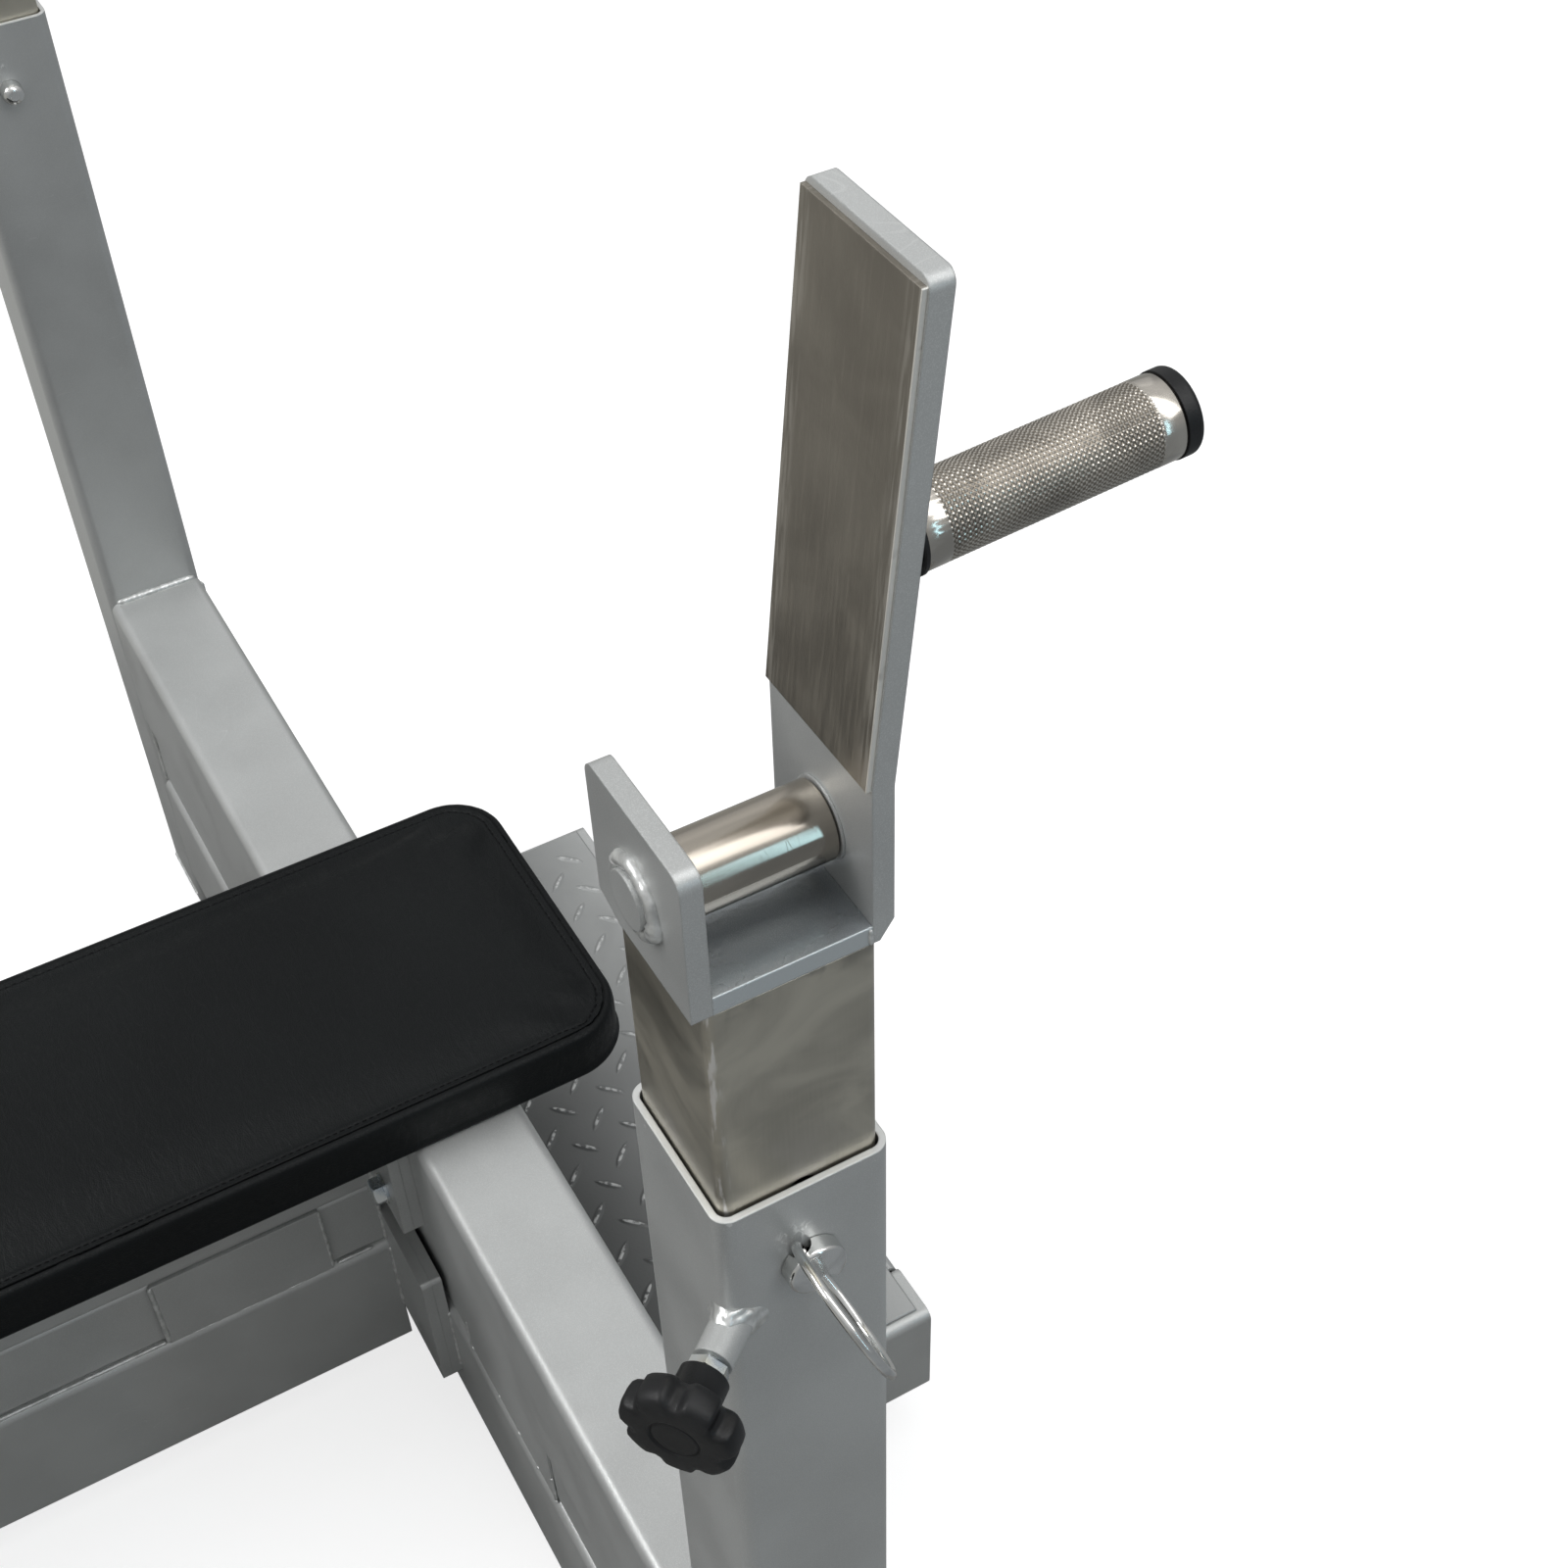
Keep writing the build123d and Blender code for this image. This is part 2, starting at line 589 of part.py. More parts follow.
def handle():
    end = GRIP_START + GRIP_L
    bore = AXLE_R + RUNNING
    liner_r = GRIP_R - GRIP_WALL
    with BuildPart() as spindle:
        with BuildSketch(handle_plane(-12)):
            Circle(AXLE_R)
        extrude(amount=end + 12)
        with BuildSketch(handle_plane(-12)):
            Circle(HANDLE_BOSS_R)
        extrude(amount=12 + GRIP_START - BUSH_FLANGE - 0.5)
        with BuildSketch(handle_plane(end - SNAP_BACK)):
            Circle(AXLE_R)
            Circle(AXLE_R - SNAP_DEPTH, mode=Mode.SUBTRACT)
        extrude(amount=-SNAP_W, mode=Mode.SUBTRACT)
        with BuildSketch(Plane.YZ.offset(UPRIGHT_X - POST / 2)):
            with BuildLine():
                Polyline((guide_offset(BEND_Z, -40), BEND_Z), (guide_offset(GUIDE_TOP, -40), GUIDE_TOP),
                         (guide_offset(GUIDE_TOP, 9.05), GUIDE_TOP), (guide_offset(BEND_Z, 9.05), BEND_Z),
                         close=True)
            make_face()
        extrude(amount=POST, mode=Mode.SUBTRACT)
    save_pair(spindle.part, "handle_spindle")

    with BuildPart() as grip:
        with BuildSketch(handle_plane(GRIP_START)):
            Circle(GRIP_R)
            Circle(liner_r, mode=Mode.SUBTRACT)
        extrude(amount=GRIP_L)
    save_pair(grip.part, "handle_grip")

    with BuildPart() as inner:
        with BuildSketch(handle_plane(GRIP_START - BUSH_FLANGE)):
            Circle(GRIP_R + 0.6)
            Circle(bore, mode=Mode.SUBTRACT)
        extrude(amount=BUSH_FLANGE)
        with BuildSketch(handle_plane(GRIP_START)):
            Circle(liner_r)
            Circle(bore, mode=Mode.SUBTRACT)
        extrude(amount=BUSH_BODY)
    save_pair(inner.part, "handle_inner_bush")

    with BuildPart() as cap:
        with BuildSketch(handle_plane(end)):
            Circle(GRIP_R + 0.4)
        extrude(amount=CAP_T)
        fillet(cap.edges().filter_by(GeomType.CIRCLE).sort_by(Axis.Y)[-1], 2.5)
        with BuildSketch(handle_plane(end - BUSH_BODY)):
            Circle(liner_r)
        extrude(amount=BUSH_BODY)
        with BuildSketch(handle_plane(end - BUSH_BODY)):
            Circle(bore)
        extrude(amount=BUSH_BODY + 0.5, mode=Mode.SUBTRACT)
        with BuildSketch(handle_plane(end - SNAP_BACK - 0.3)):
            Circle(bore)
            Circle(bore - SNAP_DEPTH, mode=Mode.SUBTRACT)
        extrude(amount=0.6 - SNAP_W)
    save_pair(cap.part, "handle_end_bush")


# ---- locking pin and its pull ring --------------------------------------------------------
PIN_SEAT = 0.3               # gap between the pin's head and the sleeve


RING_LAND = 0.6              # half the straight length in the middle of the ring's hole


def lock_pin():
    """Locking pin, and the pull ring through the flared hole in the pin's head."""
    head_x = OUTER_X + PIN_SEAT
    lean = Vector(0, -sin(radians(RING_LEAN)), cos(radians(RING_LEAN)))
    out = Vector(1, 0, 0)
    hole_axis = lean * cos(radians(RING_SLANT)) - out * sin(radians(RING_SLANT))
    to_centre = lean * sin(radians(RING_SLANT)) + out * cos(radians(RING_SLANT))
    hole = Vector(head_x + PIN_HEAD_T / 2, UPRIGHT_Y, PIN_Z)
    across = Plane(origin=hole, x_dir=to_centre, z_dir=to_centre.cross(hole_axis))
    reach = PIN_HEAD_R + 3
    ring_hole = RING_R - RING_WIRE_R
    throat = RING_WIRE_R + RUNNING

    def wall(height):
        """Point on the flared wall of the hole, which keeps the ring's own curve."""
        return throat + ring_hole - sqrt(ring_hole ** 2 - height ** 2), height

    middle = (RING_LAND + reach) / 2

    with BuildPart() as pin:
        with BuildSketch(pin_plane(HALF_INNER - PIN_TIP)):
            Circle(PIN_R)
        extrude(amount=head_x - HALF_INNER + PIN_TIP)
        fillet(pin.edges().filter_by(GeomType.CIRCLE).sort_by(Axis.X)[0], 5)
        with BuildSketch(pin_plane(head_x)):
            Circle(PIN_HEAD_R)
        extrude(amount=PIN_HEAD_T)
        fillet(pin.edges().filter_by(GeomType.CIRCLE).sort_by(Axis.X)[-1], 2)
        with BuildSketch(across):
            with BuildLine():
                ThreePointArc(wall(-reach), wall(-middle), wall(-RING_LAND))
                Line(wall(-RING_LAND), wall(RING_LAND))
                ThreePointArc(wall(RING_LAND), wall(middle), wall(reach))
                Polyline(wall(reach), (0, reach), (0, -reach), wall(-reach))
            make_face()
        revolve(axis=Axis(hole, hole_axis), revolution_arc=360, mode=Mode.SUBTRACT)
    save_pair(pin.part, "lock_pin")

    with BuildPart() as ring:
        with BuildSketch(Plane(origin=hole, x_dir=to_centre, z_dir=hole_axis)):
            Circle(RING_WIRE_R)
        revolve(axis=Axis(hole + to_centre * RING_R, to_centre.cross(hole_axis)), revolution_arc=360)
    save_pair(ring.part, "pin_ring")


# ---- feet ---------------------------------------------------------------------------------
def feet():
    plates = []
    for side in (1, -1):
        with BuildPart() as plate:
            with BuildSketch(Plane.XY.offset(FEET_T)):
                with Locations((side * UPRIGHT_X, UPRIGHT_Y)):
                    RectangleRounded(TUBE, TUBE, TUBE_R)
            extrude(amount=SLEEVE_BOTTOM - FEET_T)
        plates.append(plate.part)
    group("upright_foot_plates", plates)
    spots = [(UPRIGHT_X, UPRIGHT_Y, TUBE - 8), (FRONT_FOOT_HALF - 40, SPINE_FRONT + TUBE / 2, TUBE - 16),
             (LEG_X, PLATFORM_BACK - RAIL_W / 2, LEG)]
    pads = []
    for x, y, width in spots:
        for side in (1, -1):
            with BuildPart() as foot:
                with BuildSketch(Plane.XY):
                    with Locations((side * x, y)):
                        RectangleRounded(width, width, 6)
                extrude(amount=FEET_T)
            pads.append(foot.part)
    group("rubber_feet", pads)


crossbeam()
fillers()
spine()
spine_joint()
front_foot()
pad()
platform()
sleeve()
clamp_boss()
clamp_stud()
star_knob()
post()
cradle_plates()
guide_plate()
wear_strip()
roller()
handle()
lock_pin()
feet()
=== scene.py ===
"""Looks of the competition bench press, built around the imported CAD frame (metres, +Z up)."""
import json
import math
import random

import bpy
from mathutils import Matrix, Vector
from mathutils.bvhtree import BVHTree


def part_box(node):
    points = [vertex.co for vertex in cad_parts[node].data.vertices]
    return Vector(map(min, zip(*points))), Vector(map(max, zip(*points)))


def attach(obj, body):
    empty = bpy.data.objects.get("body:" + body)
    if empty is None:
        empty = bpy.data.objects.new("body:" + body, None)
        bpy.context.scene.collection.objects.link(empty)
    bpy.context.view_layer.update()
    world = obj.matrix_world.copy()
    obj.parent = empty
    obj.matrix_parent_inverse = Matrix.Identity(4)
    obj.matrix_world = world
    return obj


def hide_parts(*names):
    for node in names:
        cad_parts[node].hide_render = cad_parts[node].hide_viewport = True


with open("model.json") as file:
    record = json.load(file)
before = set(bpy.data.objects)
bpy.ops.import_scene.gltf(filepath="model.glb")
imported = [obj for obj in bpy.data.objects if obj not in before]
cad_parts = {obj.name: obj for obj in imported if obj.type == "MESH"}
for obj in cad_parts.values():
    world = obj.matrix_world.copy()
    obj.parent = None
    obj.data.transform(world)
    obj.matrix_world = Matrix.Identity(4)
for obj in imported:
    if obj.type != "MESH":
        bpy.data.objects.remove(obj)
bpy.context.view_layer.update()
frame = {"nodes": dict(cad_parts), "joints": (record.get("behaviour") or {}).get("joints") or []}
NODES = frame["nodes"]
JOINTS = {joint["name"]: joint for joint in frame["joints"]}
SIDES = {"right": 1.0, "left": -1.0}
MM = 0.001
X, Y, Z = Vector((1, 0, 0)), Vector((0, 1, 0)), Vector((0, 0, 1))

# places of small details that have no node of their own, in metres
PAD_CORNER = 0.045
PAD_TAB_PLACES = (-0.14, -0.47, -0.80)      # along Y, from the front of the sleeves
FRONT_SEAM_Z = 0.2675                       # weld across the front of the crossbeam's lower tube
FRONT_SEAM_X = (0.030, 0.104)
PLATE_SEAM_X = 0.1165                       # weld up the outer edge of the lower joint plates
PLATE_SEAM_Z = (0.098, 0.170)
COVER_END_X = 0.155                         # inner end of the crossbeam's cover strips
FIRST_DOT_X = 0.158                         # first spot weld under a cover strip

KNURL_PITCH, KNURL_MARGIN, KNURL_DEPTH = 2.15 * MM, 9 * MM, 0.34 * MM
KNURLS_AROUND = 47
PAINTED_SHADE_DEPTH = 0.3 * MM                      # depth from which the knurling's grooves are painted darker, as painted shade

CAMERA_PLACE = (1.0986, 0.1557, 1.6621)
CAMERA_TURN = (45.4724, 1.7981, 60.5074)    # degrees
CAMERA_LENS = 53.014                        # mm, on a sensor 36 mm wide
LIGHTS = (                                  # name, place, target, size, watts, tint
    ("ceiling_strip_right", (1.43, 1.2, 3.2), (0.5, 0.4, 0.9), (1.1, 3.0), 25, (1, 1, 1)),
    ("ceiling_strip_left", (-0.9, -1.5, 3.3), (0.1, 0.2, 0.4), (1.4, 0.6), 22, (1, 1, 1)),
    ("ceiling_panel", (-2.9, 1.5, 3.0), (0.2, 0.3, 0.6), (2.6, 2.6), 5, (1, 1, 1)),
    ("front_panel", (-0.3, -2.9, 3.6), (0.2, 0.3, 0.5), (1.6, 1.6), 52, (1, 1, 1)),
    ("side_window", (3.3, 1.4, 1.86), (0.58, 0.41, 1.06), (0.12, 1.6), 3.2, (0.5, 0.84, 1.0)),
)


# ---- material helpers ----------------------------------------------------------------------
def feed(tree, socket, value):
    """Link a socket to another node's output, or give it a plain value."""
    if isinstance(value, bpy.types.NodeSocket):
        tree.links.new(value, socket)
    else:
        socket.default_value = value


class Look:
    """One material, with short calls for the nodes that paint it."""

    def __init__(self, name, **shader):
        self.mat = bpy.data.materials.new(name)
        self.mat.use_nodes = True
        self.tree = self.mat.node_tree
        self.shader = self.tree.nodes["Principled BSDF"]
        for key, value in shader.items():
            self.shader.inputs[key.replace("_", " ")].default_value = value
        self.place = self.add("ShaderNodeTexCoord").outputs["Object"]
        split = self.add("ShaderNodeSeparateXYZ", Vector=self.place)
        self.x, self.y, self.z = split.outputs

    def add(self, kind, **inputs):
        node = self.tree.nodes.new(kind)
        for key, value in inputs.items():
            self.feed(node.inputs[key.replace("_", " ")], value)
        return node

    def feed(self, socket, value):
        feed(self.tree, socket, value)

    def math(self, operation, a, b=0.0):
        node = self.tree.nodes.new("ShaderNodeMath")
        node.operation = operation
        self.feed(node.inputs[0], a)
        self.feed(node.inputs[1], b)
        return node.outputs[0]

    def times(self, a, b):
        return self.math("MULTIPLY", a, b)

    def noise(self, scale, detail=3.0, rough=0.5, stretch=(1, 1, 1), warp=0.0):
        where = self.add("ShaderNodeMapping", Vector=self.place, Scale=stretch).outputs[0]
        node = self.add("ShaderNodeTexNoise", Vector=where, Scale=scale, Detail=detail,
                        Roughness=rough, Distortion=warp)
        return node.outputs[0]

    def cells(self, scale, stretch=(1, 1, 1), feature="F1"):
        where = self.add("ShaderNodeMapping", Vector=self.place, Scale=stretch).outputs[0]
        node = self.tree.nodes.new("ShaderNodeTexVoronoi")
        node.feature = feature
        self.feed(node.inputs["Vector"], where)
        node.inputs["Scale"].default_value = scale
        return node.outputs["Distance"]

    def span(self, value, low, high, to_low=0.0, to_high=1.0):
        node = self.add("ShaderNodeMapRange", Value=value, From_Min=low, From_Max=high,
                        To_Min=to_low, To_Max=to_high)
        node.interpolation_type = "SMOOTHSTEP"
        return node.outputs[0]

    def near(self, value, centre, reach):
        """1 at centre, falling to 0 at reach from it."""
        return self.span(self.math("ABSOLUTE", self.math("SUBTRACT", value, centre)), 0.0, reach, 1.0, 0.0)

    def mix(self, factor, a, b):
        node = self.tree.nodes.new("ShaderNodeMix")
        node.data_type = "RGBA"
        self.feed(node.inputs["Factor"], factor)
        self.feed(node.inputs["A"], a if isinstance(a, bpy.types.NodeSocket) else (*a, 1))
        self.feed(node.inputs["B"], b if isinstance(b, bpy.types.NodeSocket) else (*b, 1))
        return node.outputs["Result"]

    def bump(self, *layers, edge=0.0):
        """Bump layers of (height, strength, distance in metres), over softly rounded edges."""
        normal = None
        if edge:
            bevel = self.add("ShaderNodeBevel", Radius=edge)
            bevel.samples = 4
            normal = bevel.outputs[0]
        for height, strength, distance in layers:
            node = self.add("ShaderNodeBump", Height=height, Strength=strength, Distance=distance)
            if normal is not None:
                self.feed(node.inputs["Normal"], normal)
            normal = node.outputs[0]
        self.feed(self.shader.inputs["Normal"], normal)

    def colour(self, value):
        self.feed(self.shader.inputs["Base Color"], value)

    def rough(self, value):
        self.feed(self.shader.inputs["Roughness"], value)

    def metal(self, value):
        self.feed(self.shader.inputs["Metallic"], value)


def scratches(look, scale, stretch, width):
    """Thin broken lines: 1 on a scratch, 0 beside it."""
    wave = look.noise(scale, detail=1.0, stretch=stretch, warp=0.6)
    line = look.near(wave, 0.5, width)
    return look.times(line, look.span(look.noise(9, detail=2), 0.48, 0.62))


def paint(name, tone=(0.48, 0.49, 0.485), rough=0.4):
    """Silver metallic paint: fine flake, faint mottling, orange peel, a few rubbed marks."""
    look = Look(name, Metallic=0.5)
    flake = look.noise(2600, detail=1.0)
    mottle = look.noise(14, detail=4.0)
    light = tuple(min(1.0, c * 1.05) for c in tone)
    dark = tuple(c * 0.95 for c in tone)
    colour = look.mix(look.span(mottle, 0.3, 0.7), dark, light)
    colour = look.mix(look.times(look.span(flake, 0.45, 0.75), 0.35), colour, (0.78, 0.79, 0.78))
    marks = scratches(look, 16, (1, 1, 7), 0.0035)
    colour = look.mix(look.times(marks, 0.35), colour, (0.7, 0.71, 0.7))
    return look, colour, mottle, rough


def finish_paint(look, colour, mottle, rough):
    look.colour(colour)
    look.rough(look.span(mottle, 0.3, 0.7, rough - 0.05, rough + 0.06))
    peel = look.noise(420, detail=2.0)
    look.bump((peel, 0.22, 0.0004), edge=0.0011)
    return look.mat


def plain_paint():
    return finish_paint(*paint("silver_paint"))


def shaded_base_paint():
    """Smooth, glossy paint of the cradle's floor, darker and cooler than the rest: painted shade and a
    painted bluish reflection from under the roller.
    """
    look, colour, mottle, rough = paint("cradle_floor_shaded_paint", tone=(0.34, 0.37, 0.395), rough=0.27)
    look.metal(look.span(mottle, 0.3, 0.7, 0.7, 0.75))
    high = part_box("cradle_base_right")[1]
    # painted highlight: a narrow band along the plate's outer edge is painted much lighter
    edge = look.span(look.math("ABSOLUTE", look.x), high.x - 0.7 * MM, high.x - 0.2 * MM)
    return finish_paint(look, look.mix(edge, colour, (0.62, 0.66, 0.67)), mottle, rough)


def sleeve_paint():
    """Paint with a bare cut rim at the top, chips under it and marks where the ring rubs."""
    look, colour, mottle, rough = paint("sleeve_paint")
    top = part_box("sleeve_right")[1].z
    rim = look.span(look.z, top - 0.7 * MM, top - 0.3 * MM)
    chips = look.times(look.span(look.z, top - 14 * MM, top - 2 * MM),
                       look.span(look.noise(160, detail=3.0), 0.66, 0.70))
    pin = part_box("lock_pin_right")
    mid_y, mid_z = (pin[0].y + pin[1].y) / 2, (pin[0].z + pin[1].z) / 2
    spot = look.times(look.near(look.y, mid_y - 7 * MM, 14 * MM),
                      look.near(look.z, mid_z + 21 * MM, 13 * MM))
    scuff = look.span(spot, 0.1, 0.7)
    patchy = look.noise(330, detail=4.0, stretch=(1, 1, 0.6), warp=1.0)
    rubbed = look.times(scuff, look.span(patchy, 0.5, 0.6))
    bare = look.math("MAXIMUM", rim, look.math("MAXIMUM", look.times(chips, 0.7), rubbed))
    look.metal(look.span(bare, 0, 1, 0.5, 0.4))
    return finish_paint(look, look.mix(bare, colour, (0.74, 0.75, 0.74)), mottle, rough)


def weld_look():
    """Painted weld metal: glossier than the flat faces around it, and lighter in colour as a painted
    highlight.
    """
    look = Look("weld_bead_painted_highlight", Metallic=0.7)
    patches = look.noise(150, detail=3.0)
    # painted highlight: the bead's colour is lighter than the paint it is covered with
    look.colour(look.mix(look.span(patches, 0.35, 0.65), (0.56, 0.57, 0.56), (0.8, 0.81, 0.8)))
    look.rough(look.span(patches, 0.3, 0.7, 0.42, 0.28))
    look.bump((look.noise(500, detail=2.0), 0.15, 0.0004))
    return look.mat


def ground_steel():
    """Ground, uncoated steel of the posts: upright grinding lines, smudges, a rubbed corner."""
    look = Look("ground_steel", Metallic=0.95)
    low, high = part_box("post_tube_right")
    lines = look.noise(60, detail=4.0, stretch=(14, 14, 0.6))
    smudge = look.noise(17, detail=4.0, stretch=(1, 1, 1.6), warp=0.8)
    colour = look.mix(look.span(smudge, 0.3, 0.7), (0.42, 0.395, 0.335), (0.62, 0.585, 0.5))
    colour = look.mix(look.times(look.span(lines, 0.35, 0.7), 0.12), colour, (0.6, 0.57, 0.5))
    side = look.math("ABSOLUTE", look.x)
    corner = look.times(look.span(side, high.x - 6 * MM, high.x - 1.5 * MM),
                        look.span(look.y, low.y + 6 * MM, low.y + 1.5 * MM))
    streaks = look.span(look.noise(120, detail=4.0, stretch=(3, 3, 0.35)), 0.5, 0.62)
    torn = look.times(corner, streaks)
    foot = look.times(look.span(look.z, high.z - 72 * MM, high.z - 118 * MM),
                      look.span(look.noise(28, detail=3.0), 0.5, 0.7))
    top = look.times(look.span(look.z, high.z - 9 * MM, high.z - 1 * MM),
                     look.span(look.noise(70, detail=3.0), 0.42, 0.6))
    colour = look.mix(look.times(top, 0.6), colour, (0.2, 0.19, 0.175))
    colour = look.mix(look.times(foot, 0.35), colour, (0.62, 0.59, 0.55))
    look.colour(look.mix(torn, colour, (0.85, 0.83, 0.8)))
    look.rough(look.span(smudge, 0.3, 0.7, 0.34, 0.46))
    look.bump((lines, 0.07, 0.0003), (look.noise(300, detail=2.0), 0.08, 0.0003), edge=0.001)
    return look.mat


def rubbed_steel():
    """The wear strip: dark bare steel, rubbed bright along its margins, with a painted highlight on its
    outer edge.
    """
    look = Look("rubbed_steel", Metallic=0.9)
    low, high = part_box("wear_strip_right")
    middle = (low.x + high.x) / 2
    off = look.math("ABSOLUTE", look.math("SUBTRACT", look.math("ABSOLUTE", look.x), middle))
    lines = look.noise(70, detail=5.0, stretch=(9, 3, 0.5))
    smudge = look.noise(20, detail=4.0, warp=0.7)
    colour = look.mix(look.span(smudge, 0.3, 0.7), (0.22, 0.2, 0.17), (0.3, 0.275, 0.235))
    colour = look.mix(look.times(look.span(lines, 0.5, 0.72), 0.2), colour, (0.34, 0.315, 0.27))
    margin = look.times(look.span(off, 25 * MM, 34 * MM), look.span(lines, 0.4, 0.62))
    # painted highlight: the strip's outer edge is painted near white
    outer = look.span(look.math("ABSOLUTE", look.x), high.x - 0.9 * MM, high.x - 0.5 * MM)
    rim = look.times(outer, look.span(look.noise(24, detail=3.0, stretch=(1, 1, 2)), 0.3, 0.4))
    colour = look.mix(look.times(margin, 0.55), colour, (0.55, 0.52, 0.47))
    look.colour(look.mix(rim, colour, (0.95, 0.93, 0.88)))
    look.rough(look.span(lines, 0.3, 0.7, 0.36, 0.52))
    look.bump((lines, 0.12, 0.0003), edge=0.0006)
    return look.mat


def turned_steel(name, tone, low, high, lines_along=(1, 0.15, 1), marks=0.25):
    """Bright turned or plated steel with faint marks and handling scratches."""
    look = Look(name, Metallic=1.0)
    wear = look.noise(45, detail=4.0, stretch=lines_along, warp=0.5)
    fine = look.noise(400, detail=2.0, stretch=lines_along)
    dim = tuple(c * 0.72 for c in tone)
    look.colour(look.mix(look.span(wear, 0.35, 0.6), dim, tone))
    look.rough(look.span(wear, 0.3, 0.7, low, high))
    look.bump((fine, 0.3 * marks, 0.0002), (scratches(look, 40, (1, 5, 1), 0.004), marks, 0.0002))
    return look.mat


def zinc_look():
    look = Look("zinc_plate", Metallic=1.0)
    cloud = look.noise(90, detail=3.0)
    colour = look.mix(look.span(cloud, 0.35, 0.65), (0.5, 0.56, 0.62), (0.8, 0.82, 0.8))
    look.colour(look.mix(look.span(look.noise(35), 0.5, 0.72), colour, (0.68, 0.66, 0.52)))
    look.rough(look.span(cloud, 0.3, 0.7, 0.22, 0.36))
    look.bump((look.noise(700), 0.12, 0.0003), edge=0.0004)
    return look.mat


def plastic_look():
    look = Look("black_plastic", Metallic=0.0, Specular_IOR_Level=0.35)
    grain = look.noise(1500, detail=2.0)
    dust = look.noise(60, detail=4.0)
    look.colour(look.mix(look.span(dust, 0.4, 0.75), (0.006, 0.0063, 0.007), (0.014, 0.0145, 0.0155)))
    look.rough(look.span(dust, 0.3, 0.7, 0.38, 0.5))
    look.bump((grain, 0.25, 0.0003), edge=0.0005)
    return look.mat


def vinyl_look():
    """Black upholstery vinyl: fine pebbled grain with soft creases."""
    look = Look("black_vinyl", Metallic=0.0, Specular_IOR_Level=0.17)
    pebble = look.cells(620, feature="DISTANCE_TO_EDGE")
    crease = look.noise(55, detail=5.0, stretch=(1.0, 2.6, 1.0), warp=1.4)
    cloud = look.noise(5, detail=3.0)
    look.colour(look.mix(look.span(cloud, 0.3, 0.7), (0.0025, 0.0034, 0.0038), (0.0048, 0.006, 0.0064)))
    look.rough(look.span(crease, 0.3, 0.7, 0.4, 0.52))
    look.bump((look.span(pebble, 0.0, 0.25), 0.35, 0.0003), (look.span(crease, 0.35, 0.6), 0.3, 0.0006))
    return look.mat


def thread_look():
    look = Look("black_thread", Metallic=0.0, Specular_IOR_Level=0.1)
    twist = look.noise(1400, detail=1.0)
    look.colour(look.mix(look.span(twist, 0.35, 0.65), (0.0008, 0.0008, 0.001), (0.003, 0.003, 0.0036)))
    look.rough(look.span(twist, 0.3, 0.7, 0.6, 0.75))
    look.bump((twist, 0.5, 0.0003))
    return look.mat


def tread_look():
    """Tread plate: bars worn bright on top, and a painted shadow near the crossbeam, where the paint is
    much darker.
    """
    look, _, mottle, rough = paint("tread_paint", tone=(0.3, 0.308, 0.305), rough=0.45)
    low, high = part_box("platform_tread_plate")
    front, top = low.y, high.z
    crest = look.span(look.z, top - 0.35 * MM, top - 0.05 * MM)
    worn = look.times(crest, look.span(look.noise(200, detail=3.0), 0.4, 0.6))
    # painted shadow: the colour goes from 0.085 next to the crossbeam, where crossbeam and cushion shade
    # the plate, to 0.5 further away
    clear_of_painted_shadow = look.times(look.span(look.y, front + 0.02, front + 0.3),
                      look.span(look.noise(9, detail=4.0, warp=0.8), 0.2, 0.6, 0.8, 1.0))
    colour = look.mix(clear_of_painted_shadow, (0.085, 0.088, 0.087), (0.5, 0.51, 0.505))
    colour = look.mix(look.times(worn, 0.5), colour, (0.85, 0.86, 0.85))
    return finish_paint(look, colour, mottle, rough)


def wood_look():
    look = Look("plywood", Metallic=0.0)
    rings = look.noise(7, detail=3.0, stretch=(6, 1, 60), warp=1.0)
    fibre = look.noise(300, detail=2.0, stretch=(1, 0.05, 1))
    colour = look.mix(look.span(rings, 0.35, 0.65), (0.3, 0.19, 0.1), (0.52, 0.37, 0.22))
    look.colour(look.mix(look.times(fibre, 0.5), colour, (0.6, 0.46, 0.3)))
    look.rough(look.span(fibre, 0.3, 0.7, 0.6, 0.75))
    look.bump((fibre, 0.4, 0.0004))
    return look.mat


def rubber_look():
    look = Look("foot_rubber", Metallic=0.0)
    grain = look.noise(500, detail=3.0)
    look.colour(look.mix(look.span(grain, 0.4, 0.7), (0.018, 0.018, 0.018), (0.04, 0.04, 0.039)))
    look.rough(look.span(grain, 0.3, 0.7, 0.7, 0.85))
    look.bump((grain, 0.4, 0.0004), edge=0.001)
    return look.mat


PAINT = plain_paint()
SLEEVE = sleeve_paint()
SHADED_BASE_PAINT = shaded_base_paint()
WELD = weld_look()
POST_STEEL = ground_steel()
STRIP_STEEL = rubbed_steel()
ROLLER_STEEL = turned_steel("roller_steel", (0.45, 0.41, 0.355), 0.12, 0.26, (1, 0.12, 1), marks=0.15)
CHROME = turned_steel("chrome", (0.82, 0.82, 0.8), 0.05, 0.16, (1, 1, 1))
GRIP_STEEL = turned_steel("grip_steel", (0.66, 0.62, 0.56), 0.15, 0.2, (1, 1, 1), marks=0.02)
# painted shade: darker steel for the faces deep in the knurling's grooves
GROOVE = turned_steel("grip_groove_painted_shade", (0.27, 0.24, 0.2), 0.25, 0.35, (1, 1, 1), marks=0.02)
ZINC = zinc_look()
PLASTIC = plastic_look()
VINYL = vinyl_look()
THREAD = thread_look()
TREAD = tread_look()
WOOD = wood_look()
RUBBER = rubber_look()

